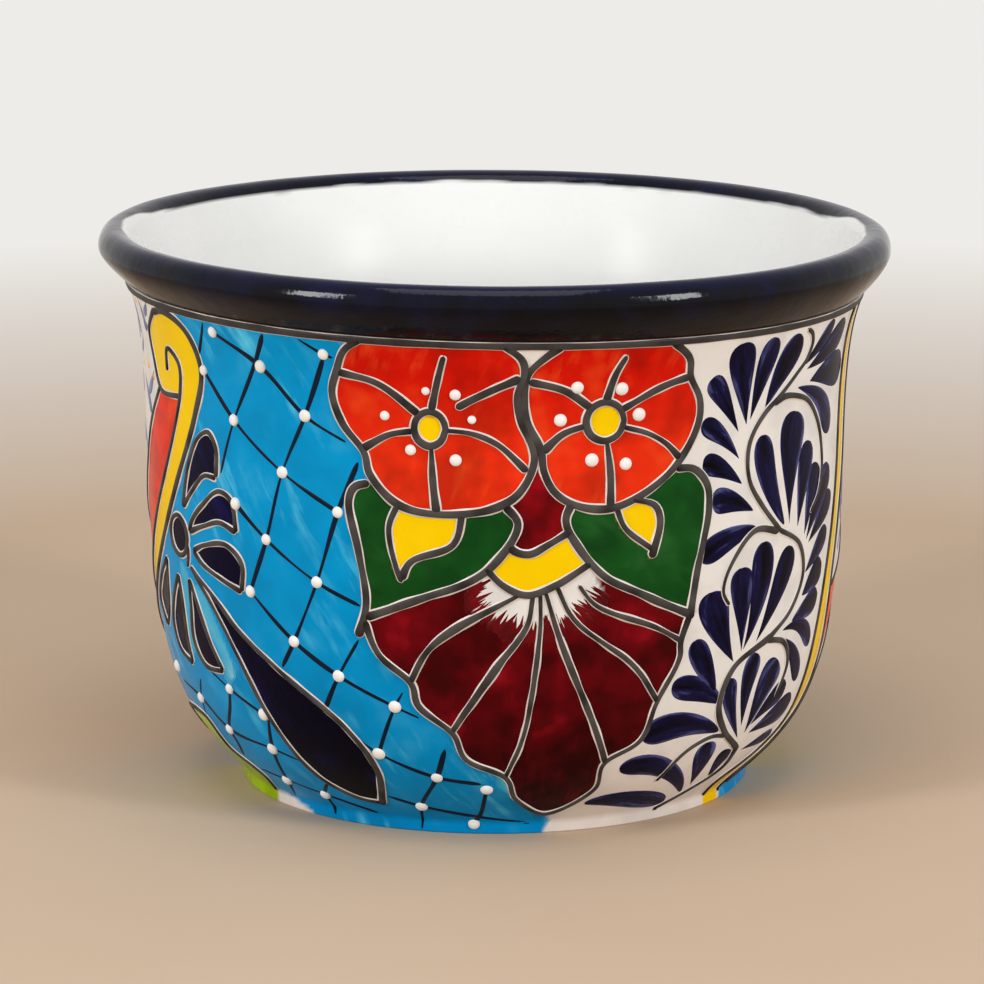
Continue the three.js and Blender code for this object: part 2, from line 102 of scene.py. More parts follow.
def smoothPath(points, closed=False, steps=14):
    # Centripetal Catmull-Rom: each span is a cubic, its end slopes weighed by the square roots of the
    # distances to the points on both sides.
    p = np.array(points, float)
    ring = [p[-1:], p, p[:2]] if closed else [2 * p[:1] - p[1:2], p, 2 * p[-1:] - p[-2:-1]]
    ring = np.vstack(ring)
    a, b, c, d = ring[:-3], ring[1:-2], ring[2:-1], ring[3:]

    def gap(m, n):
        return np.maximum(np.sqrt(np.linalg.norm(n - m, axis=1)), 1e-3)[:, None]

    before, here, after = gap(a, b), gap(b, c), gap(c, d)
    leave = ((b - a) / before - (c - a) / (before + here) + (c - b) / here) * here
    arrive = ((c - b) / here - (d - b) / (here + after) + (d - c) / after) * here
    t = np.linspace(0, 1, steps, endpoint=False)[None, :, None]
    curve = (
        (2 * t**3 - 3 * t**2 + 1) * b[:, None]
        + (t**3 - 2 * t**2 + t) * leave[:, None]
        + (3 * t**2 - 2 * t**3) * c[:, None]
        + (t**3 - t**2) * arrive[:, None]
    ).reshape(-1, 2)
    return curve if closed else np.vstack([curve, p[-1:]])


def runAlong(points):
    return np.concatenate([[0], np.cumsum(np.linalg.norm(np.diff(points, axis=0), axis=1))])


def headings(points):
    step = np.gradient(points, axis=0)
    return step / np.linalg.norm(step, axis=1)[:, None]


def outsideProfile(shape, count=240):
    # (radius, height) from the ground to the neck: an upright edge, then two cubics that meet at the belly.
    foot = np.array((shape["footRadius"], shape["footEdge"]))
    belly, neck = np.array(shape["belly"]), np.array(shape["neck"])
    lower = bezier(count, foot, foot + shape["footFlare"], belly - (0, shape["lowerPull"]), belly)
    upper = bezier(count, belly, belly + (0, shape["upperPull"]), neck - shape["neckFlare"], neck)
    return np.vstack([[(shape["footRadius"], 0)], lower, upper[1:]])


def insideLine(shape):
    # (radius, height) from the floor up to the lip: the outside moved in by the wall's thickness, and eased
    # into the lip.
    points = outside[::12]
    out = headings(points)
    inner = points + np.stack([-out[:, 1], out[:, 0]], axis=1) * shape["wall"]
    top = shape["neck"][1] - shape["evenWallEnd"]
    inner = inner[(inner[:, 1] > shape["floorTop"]) & (inner[:, 1] < top)]
    lip = np.array((shape["rimRadius"] - shape["rollThickness"], shape["crest"] - shape["widestDrop"] / 2))
    neck = (shape["neck"][0] - shape["wall"], shape["neck"][1])
    return smoothPath(np.vstack([inner, [neck, lip - shape["lipGuide"], lip]]))


def insideAt(height):
    return np.interp(height, inside[:, 1], inside[:, 0])


def rollProfile(shape, rows):
    # (radius, height) over the rolled rim, from the neck out, over the crest and down the inside.
    neck = np.array(shape["neck"])
    rim, crest, full = shape["rimRadius"], shape["crest"], shape["rollFullness"]
    widest = crest - shape["widestDrop"]
    turn = shape["widestDrop"] * full
    top = rim - shape["crestInset"]
    lip = inside[-1]
    under = bezier(rows[0], neck, neck + shape["neckFlare"][0], (rim, widest - turn), (rim, widest))
    over = bezier(
        rows[1], (rim, widest), (rim, widest + turn), (top + shape["crestInset"] * full, crest), (top, crest)
    )
    eased = (top * (1 - full) + lip[0] * full, crest)
    inward = bezier(rows[2], (top, crest), eased, (lip[0] + shape["lipTurn"], lip[1] + turn / 2), lip)
    heights = np.append(np.linspace(lip[1], neck[1] + seamStep, rows[3]), neck[1])
    down = np.stack([insideAt(heights), heights], axis=1)
    return np.vstack([under, over[1:], inward[1:], down[1:]])


outside = outsideProfile(potShape)
slope = headings(outside)
inside = insideLine(potShape)
seamStep = 0.12  # rows this close to a join keep the shading even across it
arcs = runAlong(outside)
perPercent = (arcs[-1] - potShape["collar"]) / 100  # up the wall


def waves(turn, lobes, height=0.0):
    # The sum of share * sin(count * turn + start + height / rise).
    return sum(
        share * np.sin(count * turn + start + sum(height / r for r in rise)) for share, count, start, *rise in lobes
    )


def lean(height):
    # The share of the neck's lean at a height: it grows up to the neck and fades towards the crest.
    neck, crest = potShape["neck"][1], potShape["crest"]
    fade = np.clip((height - neck) / (crest - neck), 0, 1)
    fade = fade * fade * (3 - 2 * fade)
    return potShape["neckLean"] * np.minimum(height, neck) / neck * (1 - fade) + potShape["crestLean"] * fade


def thrown(degrees, radius, height):
    # A profile point turned round the axis: x = r sin a, y = -r cos a. The height leans with -sin a, and
    # low sine waves round the pot and up it keep it from being perfectly round.
    turn = np.radians(degrees)
    start, end = potShape["rimWaveSpan"]
    wallWave = potShape["wallWave"] * np.clip(height / potShape["wallWaveWhole"], 0, 1)
    rimWave = potShape["rimWave"] * np.clip((height - start) / (end - start), 0, 1)
    radius = radius + wallWave * waves(turn, potShape["wallLobes"], height)
    radius = radius + rimWave * waves(turn, potShape["rimLobes"], height)
    return np.stack([radius * np.sin(turn), -radius * np.cos(turn), height - np.sin(turn) * lean(height)], axis=-1)


def wallAt(arc):
    # The outside's radius and height at a distance along it from the ground.
    return np.interp(arc, arcs, outside[:, 0]), np.interp(arc, arcs, outside[:, 1])


def perDegreeAt(percent):
    return np.radians(1) * wallAt(percent * perPercent)[0]


def onPot(degrees, percent, lift):
    # A place on the painted field, lifted square to the wall.
    arc = percent * perPercent
    radius, height = wallAt(arc)
    across, up = np.interp(arc, arcs, slope[:, 0]), np.interp(arc, arcs, slope[:, 1])
    return thrown(degrees, radius + up * lift, height - across * lift)


# Paths and meshes.


def lengthsAlong(path):
    step = np.diff(path, axis=0)
    middle = (path[1:, 1] + path[:-1, 1]) / 2
    run = np.hypot(step[:, 0] * perDegreeAt(middle), step[:, 1] * perPercent)
    return np.concatenate([[0], np.cumsum(run)])


def gridQuads(rows, columns, rowsClose=False, columnsClose=True):
    # The corners of each cell of a grid whose points are numbered row by row.
    cells = np.arange(rows - (not rowsClose)), np.arange(columns - (not columnsClose))
    i, k = np.meshgrid(*cells, indexing="ij")
    j, m = (i + 1) % rows, (k + 1) % columns
    corners = [i * columns + k, i * columns + m, j * columns + m, j * columns + k]
    return np.stack(corners, axis=-1).reshape(-1, 4)


turnedRound = [0, 3, 2, 1]  # the corners of a face in the order that makes it face the other way


def sweep(path, across, lift, closed=False):
    # A section carried along a path on the wall: place + side * across + out * lift. across and lift have
    # a row for each station and a column for each point of the section, left side first, over the top.
    step = (np.roll(path, -1, 0) - np.roll(path, 1, 0)) if closed else np.gradient(path, axis=0)
    step[:, 0] = (step[:, 0] + 180) % 360 - 180
    perDegree = perDegreeAt(path[:, 1])
    along = np.stack([step[:, 0] * perDegree, step[:, 1] * perPercent], axis=1)
    along /= np.linalg.norm(along, axis=1)[:, None]
    degrees = path[:, :1] + along[:, 1:] * across / perDegree[:, None]
    percent = path[:, 1:] - along[:, :1] * across / perPercent
    stations, count = across.shape
    lift = np.broadcast_to(lift, across.shape)
    quads = gridQuads(stations, count, closed)
    first = list(range(count))
    caps = [] if closed else [first[::-1], [(stations - 1) * count + k for k in first]]
    return {
        "verts": onPot(degrees.ravel(), percent.ravel(), lift.ravel()), "quads": quads, "caps": caps,
        "finish": np.zeros(len(quads), int), "marks": {},
    }


def joined(parts):
    # Several shapes as one mesh: the faces' numbers move up by the vertices that come before.
    starts = np.cumsum([0] + [len(part["verts"]) for part in parts])
    return {
        "verts": np.vstack([part["verts"] for part in parts]),
        "quads": np.vstack([part["quads"] + start for part, start in zip(parts, starts)]),
        "caps": [[v + int(start) for v in cap] for part, start in zip(parts, starts) for cap in part["caps"]],
        "finish": np.concatenate([part["finish"] for part in parts]),
        "marks": {key: np.concatenate([part["marks"][key] for part in parts]) for key in parts[0]["marks"]},
    }


creaseAngle = math.radians(40)  # a sharper edge than this isn't shaded smooth
markKinds = {1: ("FLOAT", "value"), 3: ("FLOAT_VECTOR", "vector"), 4: ("FLOAT_COLOR", "color")}


def placed(name, data):
    made = bpy.data.objects.new(name, data)
    bpy.context.scene.collection.objects.link(made)
    return made


def makePiece(name, shape, coats, slot, *nodes):
    # The shape's mesh in metres, with a finish for each face and a mark for each vertex. The faces that
    # close a shape's ends or are marked flat aren't shaded smooth.
    mesh = bpy.data.meshes.new(name)
    quads, caps = shape["quads"], shape["caps"]
    mesh.from_pydata((shape["verts"] * mm).tolist(), [], quads.tolist() + caps)
    for coat in coats:
        mesh.materials.append(finishes[coat])
    index = np.concatenate([shape["finish"], np.zeros(len(caps), int)]).astype(np.int32)
    mesh.polygons.foreach_set("material_index", index)
    flat = shape.get("flat", np.zeros(len(quads), bool))
    mesh.polygons.foreach_set("use_smooth", np.concatenate([~flat, np.zeros(len(caps), bool)]))
    for key, values in shape["marks"].items():
        kind, field = markKinds[values[0].size]
        mark = mesh.attributes.new(key, kind, "POINT")
        mark.data.foreach_set(field, values.astype(np.float32).ravel())
    mesh.update()
    if "flat" in shape:
        mesh.set_sharp_from_angle(angle=creaseAngle)
    piece = placed(name, mesh)
    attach(piece, "root")
    if nodes:
        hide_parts(*nodes)


def linear(colour):
    # A colour as written, 0 to 255, to the linear values that the shader takes.
    c = np.array(colour, float) / 255
    return tuple(np.where(c <= 0.04045, c / 12.92, ((c + 0.055) / 1.055) ** 2.4)) + (1.0,)


# The trailed slip lines: each has a layer, its widths at even steps from its start to its end, and its points.

broad, rib, spoke, fine, thin, hair = 2.8, 3.0, 2.6, 1.9, 1.4, 1.0
shellEdge = [2.6, 2.3, 1.9, 1.6, 1.8, 2.4]


def line(layer, widths, *points):
    return {"layer": layer, "widths": widths, "points": list(points), "closed": False}


def even(layer, width, *points):
    return line(layer, [width] * 3, *points)


def loop(layer, width, *points):
    return even(layer, width, *points) | {"closed": True}


def ring(layer, width, degrees, percent, wide, tall):
    turns = np.arange(8) * math.tau / 8
    points = np.stack([degrees + wide * np.cos(turns), percent + tall * np.sin(turns)], axis=1)
    return loop(layer, width, *points.tolist())


flowerPair = [
    even(
        0, broad,
        [-20, 101], [-23, 98], [-24.5, 94], [-25.5, 90], [-24, 84.5], [-20.5, 79.5], [-19.5, 75.5],
        [-15, 70.5], [-9, 69], [-1, 70], [3.5, 73], [6, 79.5], [4, 86.5], [3.5, 91], [4.5, 95], [4, 98],
        [1, 101],
    ),
    even(2, spoke, [-24.5, 94], [-18, 92.5], [-11.5, 87]),
    line(2, [thin, spoke, spoke], [-7.5, 98.5], [-8.5, 94], [-9.7, 87.8]),
    even(2, spoke, [4, 94.5], [-1.5, 91.5], [-6, 88.5]),
    line(2, [thin, fine, spoke], [-8, 84.5], [-3.5, 84], [0.5, 82], [5, 77]),
    line(2, [thin, spoke, spoke], [-9.7, 81.4], [-9.5, 74.5], [-9, 69]),
    line(2, [fine, spoke, spoke], [-12.5, 84], [-16.5, 83], [-21, 80]),
    ring(0, spoke, -10, 84.5, 2.4, 3.2),
    even(
        1, broad,
        [10, 101], [7.5, 98.5], [5, 95], [4.5, 90], [5, 86], [7, 81], [7.5, 77], [9, 73.5], [12, 71],
        [18, 70], [25.5, 73.5], [30, 78], [33, 84.5], [33, 89], [31, 93.5], [30.5, 97], [27, 101],
    ),
    even(2, spoke, [5, 93.7], [10.5, 92], [15, 88.5]),
    line(2, [thin, spoke, spoke], [20, 98.5], [18.5, 95], [17, 89.5]),
    even(2, spoke, [31, 93.5], [26.5, 92], [19.5, 88]),
    line(2, [thin, fine, spoke], [19.8, 85], [24, 83.5], [27, 81.5], [30, 78]),
    line(2, [thin, spoke, spoke], [17.4, 82.5], [18, 76.5], [18, 70]),
    line(2, [fine, spoke, spoke], [14.2, 85.5], [10.5, 84], [7.2, 80.5]),
    ring(0, spoke, 17, 86, 3, 3.6),
]
leftLeaf = [
    even(0, broad, [-19.5, 74], [-22, 73], [-23, 70.5], [-21.5, 61], [-20.5, 51.5], [-22, 45]),
    even(1, broad, [-20.7, 49], [-12, 53], [-3.5, 57], [0.5, 61], [3.5, 67.5], [1.5, 71]),
]
rightLeaf = [
    even(0, broad, [29, 76.5], [32.5, 76], [35, 73], [35.5, 68.5], [33.5, 57], [32.5, 47.5]),
    even(1, broad, [32.7, 48.5], [23.5, 53.5], [17.5, 57], [13, 63], [11, 68], [12, 71.5]),
]
leftHeart = [
    even(0, fine, [-15, 70.5], [-16.5, 66], [-15.5, 59], [-14.5, 56]),
    line(1, [broad, spoke, fine], [-14.6, 56.5], [-13, 60], [-6.5, 63.5], [-5, 69.5]),
]
rightHeart = [
    line(0, [fine, broad, spoke], [21.5, 71.5], [25.5, 70], [26.5, 67], [25, 60]),
    even(1, fine, [19, 70], [20.5, 66], [25.5, 61.5]),
]
crescent = [even(0, spoke, [2, 63.5], [3.5, 62.3], [5.5, 62], [8, 63.5], [11.8, 66])]
shell = [
    even(0, spoke, [-1.5, 59.5], [1.5, 56], [5, 54.3], [9.5, 56], [15, 60]),
    line(
        0, shellEdge,
        [-21, 48.5], [-18.5, 42], [-13.5, 37], [-12.5, 32.5], [-7, 27], [-5, 21.5], [2, 17], [4, 10.5],
        [10.5, 5], [19, 12.5], [19.5, 19.5], [25.5, 24], [27.5, 32], [31, 40.5], [31, 43.5], [32.5, 48.5],
    ),
    line(1, [thin, rib, fine], [4, 54.6], [-6, 48], [-10.5, 43.5], [-13.7, 37]),
    line(2, [thin, rib, fine], [6, 54.5], [5, 48.5], [0.5, 41], [-7.3, 27]),
    line(3, [thin, fine, thin], [7, 54.7], [7, 47], [5, 28], [1.8, 17]),
    line(2, [thin, spoke, fine], [7.8, 55], [10, 46.5], [16, 30], [19.7, 19.5]),
    line(1, [thin, fine, fine], [9.5, 56], [12.5, 49.5], [22.5, 40], [27.7, 32]),
    line(1, [thin, fine, fine], [13, 56], [16, 52], [26, 47], [31.2, 43.5]),
]
horn = [
    line(
        0, [broad, spoke, fine],
        [-66, 98.5], [-61, 99.5], [-55.5, 97], [-52.5, 90], [-55, 81.5], [-59, 72.5], [-66, 60],
        [-75, 47.5], [-93, 28], [-112, 10], [-119, 3.5],
    ),
    even(
        1, fine,
        [-64, 87.5], [-63, 92], [-59.5, 90], [-59.5, 85], [-63.5, 74.5], [-72, 60], [-85, 43],
        [-99, 28], [-110.5, 16],
    ),
    even(2, fine, [-65.8, 98.8], [-70.5, 94], [-70, 89], [-67.5, 83.5], [-59.5, 83.5]),
    even(3, fine, [-68, 84], [-74.5, 76], [-82.5, 62.5], [-94, 50], [-104, 44.8]),
    even(
        2, fine,
        [-97, 100.5], [-99, 85], [-100.5, 70], [-103, 58], [-104.7, 48], [-104.5, 38], [-104, 31],
        [-105.5, 22], [-112, 13.8], [-120, 5.5], [-120.5, 1.5],
    ),
]
hornEdge = [
    even(
        0, fine,
        [-105.2, 100.5], [-105.8, 85], [-106.5, 70], [-108, 58], [-109.8, 48], [-111, 38], [-111.5, 28],
        [-113, 20], [-118.5, 13.8], [-126.5, 6], [-126.5, 1.8],
    ),
]


def petal(tip, upper, corner, lower):
    return [even(1, fine, tip, *upper, corner), even(2, fine, tip, *lower, corner)]


daisy = [
    ring(0, fine, -62, 57, 3.2, 3.8),
    line(3, [fine, fine, thin], [-58.9, 56], [-58.9, 53.6], [-59.4, 51.4]),
    *petal(
        [-59.8, 62.8], [[-59, 66.5], [-57.5, 71.5], [-54.5, 77], [-51.5, 78.6], [-49.5, 76]], [-49.6, 70.4],
        [[-56.5, 66.7], [-53, 70.2]],
    ),
    *petal([-58, 58.6], [[-57, 61], [-53.5, 64.7], [-49, 68], [-46, 66.8]], [-45, 61], [[-53.5, 60.7], [-49, 62.2]]),
    *petal([-57, 55.2], [[-53.5, 57], [-47.5, 58.3], [-44, 55.5]], [-44.4, 50], [[-54.5, 53.2], [-49.5, 51.5]]),
    *petal([-59.1, 49.5], [[-59.4, 44], [-60.1, 37], [-57.5, 32.8]], [-52, 32.9], [[-57.2, 45], [-54.8, 38.5]]),
    *petal([-63.3, 49.4], [[-66.7, 43.7], [-68.4, 38], [-67, 33.9]], [-62.6, 32], [[-62.7, 45], [-62.8, 38]]),
    *petal([-68.2, 51.4], [[-73, 46.3], [-75.8, 41.5]], [-72.8, 37], [[-69, 44.5], [-70.4, 40]]),
]
drop = [
    line(
        0, [thin, fine, broad],
        [-58.4, 52], [-51.2, 47], [-46.8, 42.9], [-38, 36.5], [-25.5, 26], [-21.5, 17], [-23.5, 6.5],
    ),
    line(
        1, [thin, fine, fine],
        [-58.4, 52], [-52, 45], [-47.1, 37.1], [-41.5, 24.5], [-35, 12.5], [-28.5, 7.8], [-23, 7],
    ),
]
baseLeaf = [
    even(0, fine, [-71.5, 20.5], [-65, 19.5], [-62.5, 13], [-58, 10], [-56, 7], [-57, 2.5]),
    even(1, fine, [-71.3, 20.4], [-79, 18.5], [-82, 12], [-88, 9], [-91, 3]),
]
sprayStem = [
    line(
        0, [thin, fine, fine],
        [55.7, 99.3], [57.4, 98.2], [58.3, 96], [57.3, 93], [54.9, 90.7], [50.6, 87.1], [47, 84.4],
        [44.2, 80.5], [43.4, 77], [44, 72], [47, 67], [52, 61],
    ),
    even(1, fine, [51.5, 61.5], [58, 57.5], [60, 51.5], [57, 45], [51, 40.5]),
    even(0, spoke, [52, 41], [43, 36.5], [41, 29], [44, 23], [50.5, 17]),
    line(1, [spoke, fine, thin], [50.3, 18], [50, 12], [44, 6.5], [37, 1.8]),
    line(
        1, [spoke, fine, hair],
        [49, 86], [52.1, 86.8], [55.5, 86.3], [59, 84.8], [62, 81.5], [64, 77.8], [65.3, 71], [64.2, 66.3],
        [61.2, 62.8],
    ),
    line(
        2, [spoke, fine, hair],
        [51.5, 61.3], [45.5, 62.5], [40.5, 57], [39, 52], [40.5, 49],
    ),
    line(2, [spoke, fine, hair], [50.5, 40.3], [56, 38.5], [58.5, 34], [57, 27]),
    line(2, [fine, fine, hair], [45, 21.5], [41, 22], [36, 19.5], [32, 12.5]),
]
halves = {"front": 0, "back": 180}

# The painted colours: closed outlines in the order that they are laid down.


def pointsOf(path):
    return path["points"] if isinstance(path, dict) else path


def backwards(path, start=0):
    return pointsOf(path)[start:][::-1]


def closedEdge(paths):
    # Slip lines and loose points end to end, each smoothed by itself, or one closed line.
    if isinstance(paths[0], dict) and paths[0]["closed"]:
        return smoothPath(paths[0]["points"], True)
    return np.vstack([smoothPath(path) if len(path) > 2 else np.array(path, float) for path in map(pointsOf, paths)])


def paint(colour, wash, low, span, angle, streaks, clouds=0.15):
    # A colour that turns to the low one between two heights, the lighter wash that its streaks show, the
    # angle that it is brushed at, and how much its streaks and its dark clouds tell.
    return {
        "colour": colour, "wash": wash, "low": low, "span": span, "angle": angle, "streaks": streaks,
        "clouds": clouds,
    }


# Where a low colour is darker than its colour, it is painted shade lower down the pot, strongest in the crimson and the
# violet; the two oranges turn to a lighter orange of their own.
turquoise = paint((0, 145, 203), (90, 200, 234), (0, 132, 192), (60, 0), -58, 1.0)
turquoiseWash = turquoise | {"colour": (72, 176, 212), "low": (60, 160, 200), "wash": (150, 214, 232)}
orange = paint((204, 20, 4), (240, 88, 34), (224, 46, 14), (94, 78), 70, 0.7, 0.4)
hornOrange = orange | {"colour": (224, 42, 12), "low": (234, 58, 14), "span": (80, 40), "angle": 60}
crimson = paint((102, 3, 11), (154, 10, 28), (50, 1, 4), (50, 10), 86, 0.3, 0.75)
wedgeCrimson = crimson | {"colour": (136, 5, 15), "low": (96, 3, 10), "span": (70, 62)}
green = paint((18, 76, 26), (50, 108, 50), (16, 70, 22), (76, 50), -35, 0.3, 0.4)
yellow = paint((242, 200, 0), (248, 212, 24), (238, 192, 0), (80, 20), -60, 0.4, 0.05)
violet = paint((2, 2, 33), (18, 16, 84), (2, 1, 7), (50, 8), -50, 0.8)
lime = paint((168, 196, 18), (204, 218, 64), (156, 186, 14), (20, 0), 20, 0.5, 0.3)
white = paint((226, 222, 217), (232, 229, 225), (226, 216, 208), (30, 4), 10, 0.2)

fringeEdge = [
    [-3.2, 56.5], [-3.6, 54], [-3.2, 51.5], [-1.3, 50.3], [0.8, 48.3], [2.7, 47.2], [4.6, 47.4], [6.2, 47],
    [8, 47.6], [9.6, 47.2], [11.1, 48.5], [13.4, 49.9], [15.3, 50.8], [16.4, 52.4], [17, 54.5],
]
fillPaths = [
    (turquoise, [[-61, 104], [-15, 104]], [[-15, 75], [-15, 52], [-5, 40], [5, 20], [10.5, 5]],
     [[12, 2.5], [9.5, -1], [8, -4], [-121, -4]], backwards(horn[0])),
    (white, [[-59.5, -4], [-57, 2.8]], [[-52, 2.4], [-47, 1.2], [-43, -0.5], [-41, -4]]),
    (turquoiseWash, [[-62.5, 52.5], [-59.8, 50], [-60.6, 42], [-61.5, 34], [-62.3, 34], [-62.2, 45]]),
    (turquoiseWash, [[-58.3, 49], [-56, 43], [-52.5, 36], [-51.4, 31], [-49, 33], [-51.5, 41], [-54.5, 47]]),
    (hornOrange, horn[3], [[-104.5, 38], [-104, 31], [-105.5, 22], [-112, 13.8], [-120, 5.5]],
     backwards(horn[0], 5), [[-57, 78], [-59.5, 84]]),
    (yellow, horn[0], [[-120, 5.5], [-112, 13.8]], backwards(horn[1], 3), backwards(horn[2])),
    (yellow, hornEdge[0], [[-126.5, -4], [-120.5, -4]], backwards(horn[4])),
    (wedgeCrimson, [[-2, 72], [6, 80]], [[13, 73], [13, 66]], backwards(crescent[0])),
    (yellow, crescent[0], backwards(shell[0])),
    (crimson, shell[1], [[34, 49], [20, 58]], backwards(shell[0]), [[-6, 58]]),
    (white, fringeEdge, backwards(shell[0])),
    (green, *leftLeaf, [[-9, 75]]),
    (green, *rightLeaf, [[20, 76]]),
    (yellow, *leftHeart, [[-10, 73]]),
    (yellow, rightHeart[0], backwards(rightHeart[1])),
    (orange, flowerPair[0]),
    (orange, flowerPair[8]),
    (yellow, loop(0, 0, [-12.3, 85.8], [-10.8, 87], [-9.6, 86.7], [-8, 86.7], [-7.7, 84.4], [-9.9, 81.7], [-12, 83.3])),
    (yellow, loop(0, 0, [20.2, 86], [17, 89.3], [13.8, 86.2], [17, 82.9])),
    (violet, daisy[0]),
    *[(violet, one, backwards(other)) for one, other in zip(daisy[2::2], daisy[3::2])],
    (violet, drop[0], backwards(drop[1])),
    (lime, baseLeaf[0], [[-57, -4], [-92, -4]], backwards(baseLeaf[1])),
]
fills = [(coat, closedEdge(paths)) for coat, *paths in fillPaths]
brushScale = (2, 1.7)  # about the millimetres in a degree and in a percent
edgeLooks = [(-0.15, -0.2), (0.15, -0.15), (-0.2, 0.15), (0.2, 0.2)]


def insideOf(degrees, percent, edge):
    # Even-odd rule: a point is inside where a level ray from it crosses the edge an odd number of times.
    odd = np.zeros(degrees.shape, bool)
    for (x0, y0), (x1, y1) in zip(edge, np.roll(edge, -1, 0)):
        if y0 != y1:
            crosses = (percent > min(y0, y1)) & (percent <= max(y0, y1))
            odd ^= crosses & (degrees < x0 + (percent - y0) * (x1 - x0) / (y1 - y0))
    return odd


def coatAt(coat, percent):
    start, end = coat["span"]
    fade = np.clip((percent - start) / (end - start), 0, 1)[:, None]
    return (1 - fade) * linear(coat["colour"]) + fade * linear(coat["low"])


def paintedAt(degrees, percent):
    # The glaze's colour at each place, the lighter colour that its brush streaks show, and where the place
    # lies across and along the streaks. Four looks soften an edge over less than half a degree.
    count = len(degrees)
    glaze, wash = coatAt(white, percent), np.tile(linear(white["wash"]), (count, 1))
    brush = np.stack([degrees * brushScale[0], percent * brushScale[1], np.full(count, 0.1)], axis=1)
    streaks, clouds = np.full(count, white["streaks"]), np.full(count, white["clouds"])
    for number, (coat, edge) in enumerate(fills):
        (left, low), (right, top) = edge.min(0) - 1, edge.max(0) + 1
        for turn in (0, 180, -180):
            local = degrees + turn
            near = np.flatnonzero((local > left) & (local < right) & (percent > low) & (percent < top))
            if not len(near):
                continue
            x, y = local[near], percent[near]
            cover = np.mean([insideOf(x + dx, y + dy, edge) for dx, dy in edgeLooks], axis=0)
            near, x, y, cover = near[cover > 0], x[cover > 0], y[cover > 0], cover[cover > 0][:, None]
            glaze[near] = glaze[near] * (1 - cover) + coatAt(coat, y) * cover
            wash[near] = wash[near] * (1 - cover) + np.array(linear(coat["wash"])) * cover
            whole = cover[:, 0] > 0.4
            full, x, y = near[whole], x[whole] * brushScale[0], y[whole] * brushScale[1]
            c, s = math.cos(math.radians(coat["angle"])), math.sin(math.radians(coat["angle"]))
            brush[full] = np.stack([c * y - s * x, c * x + s * y, np.full(len(x), number * 3.7)], axis=1)
            streaks[full], clouds[full] = coat["streaks"], coat["clouds"]
    return {"glaze": glaze, "wash": wash, "brush": brush, "streaks": streaks, "clouds": clouds}


# Finishes.


def setInputs(tree, made, inputs):
    for key, value in inputs.items():
        if isinstance(value, bpy.types.NodeSocket):
            tree.links.new(value, made.inputs[key])
        else:
            made.inputs[key].default_value = value


def node(tree, kind, inputs, **settings):
    made = tree.nodes.new("ShaderNode" + kind)
    for key, value in settings.items():
        setattr(made, key, value)
    setInputs(tree, made, inputs)
    return made


def newFinish(name, specular=0.5, roughness=0.5):
    material = bpy.data.materials.new(name)
    material.use_nodes = True
    tree = material.node_tree
    shader = tree.nodes["Principled BSDF"]
    setInputs(tree, shader, {"Specular IOR Level": specular, "Roughness": roughness})
    return material, tree, shader


def places(tree):
    return node(tree, "TexCoord", {}).outputs["Object"]


def stretched(tree, vector, scale):
    return node(tree, "Mapping", {"Vector": vector, "Scale": scale}).outputs[0]


def noise(tree, vector, scale, detail=3.0, roughness=0.55):
    inputs = {"Vector": vector, "Scale": scale, "Detail": detail, "Roughness": roughness}
    return node(tree, "TexNoise", inputs).outputs[0]


def grainy(tree, scale, detail=3.0, roughness=0.55):
    return noise(tree, places(tree), scale, detail, roughness)


def share(tree, value, start, end, low=0.0, top=1.0):
    inputs = {"Value": value, "From Min": start, "From Max": end, "To Min": low, "To Max": top}
    return node(tree, "MapRange", inputs).outputs[0]


def blend(tree, factor, first, second, way="MIX"):
    return node(tree, "Mix", {0: factor, 6: first, 7: second}, data_type="RGBA", blend_type=way).outputs[2]


def times(tree, first, second):
    return node(tree, "Math", {0: first, 1: second}, operation="MULTIPLY").outputs[0]


def plus(tree, first, second):
    return node(tree, "Math", {0: first, 1: second}, operation="ADD").outputs[0]


def mark(tree, name, output="Fac"):
    return node(tree, "Attribute", {}, attribute_name=name).outputs[output]


def relief(tree, shader, height, distance, strength=1.0):
    bump = node(tree, "Bump", {"Height": height, "Distance": distance, "Strength": strength})
    tree.links.new(bump.outputs[0], shader.inputs["Normal"])


def paintedGlaze():
    # Glaze brushed on in broad streaks, darker in clouds where it pooled, under an even gloss.
    material, tree, shader = newFinish("painted_glaze", 0.06)
    glaze, wash, clouds = mark(tree, "glaze", "Color"), mark(tree, "wash", "Color"), mark(tree, "clouds")
    strokes = stretched(tree, mark(tree, "brush", "Vector"), (0.17, 0.035, 1))
    streaks = share(tree, noise(tree, strokes, 1.0, 4.0), 0.5, 0.7)
    patches = share(tree, grainy(tree, 30, 2.0), 0.45, 0.6)
    colour = blend(tree, times(tree, times(tree, streaks, patches), mark(tree, "streaks")), glaze, wash)
    depth = grainy(tree, 56, 2.5, 0.6)
    colour = blend(tree, times(tree, share(tree, depth, 0.43, 0.27), clouds), colour, wash)
    pools = times(tree, share(tree, depth, 0.46, 0.64), clouds)
    colour = blend(tree, pools, colour, linear((128, 128, 140)), "MULTIPLY")
    rough = share(tree, grainy(tree, 60), 0.3, 0.7, 0.14, 0.26)
    setInputs(tree, shader, {"Base Color": colour, "Roughness": rough})
    relief(tree, shader, grainy(tree, 120, 2.0), 0.00012, 0.6)
    return material


def insideWhite(tree):
    pooled = share(tree, grainy(tree, 22, 2.0), 0.35, 0.65)
    return blend(tree, pooled, linear((225, 225, 223)), linear((221, 221, 219)))


def innerGlaze():
    material, tree, shader = newFinish("white_glaze", 0.14)
    rough = share(tree, grainy(tree, 40), 0.3, 0.7, 0.25, 0.32)
    setInputs(tree, shader, {"Base Color": insideWhite(tree), "Roughness": rough})
    relief(tree, shader, grainy(tree, 70, 2.0), 0.0001, 0.4)
    return material


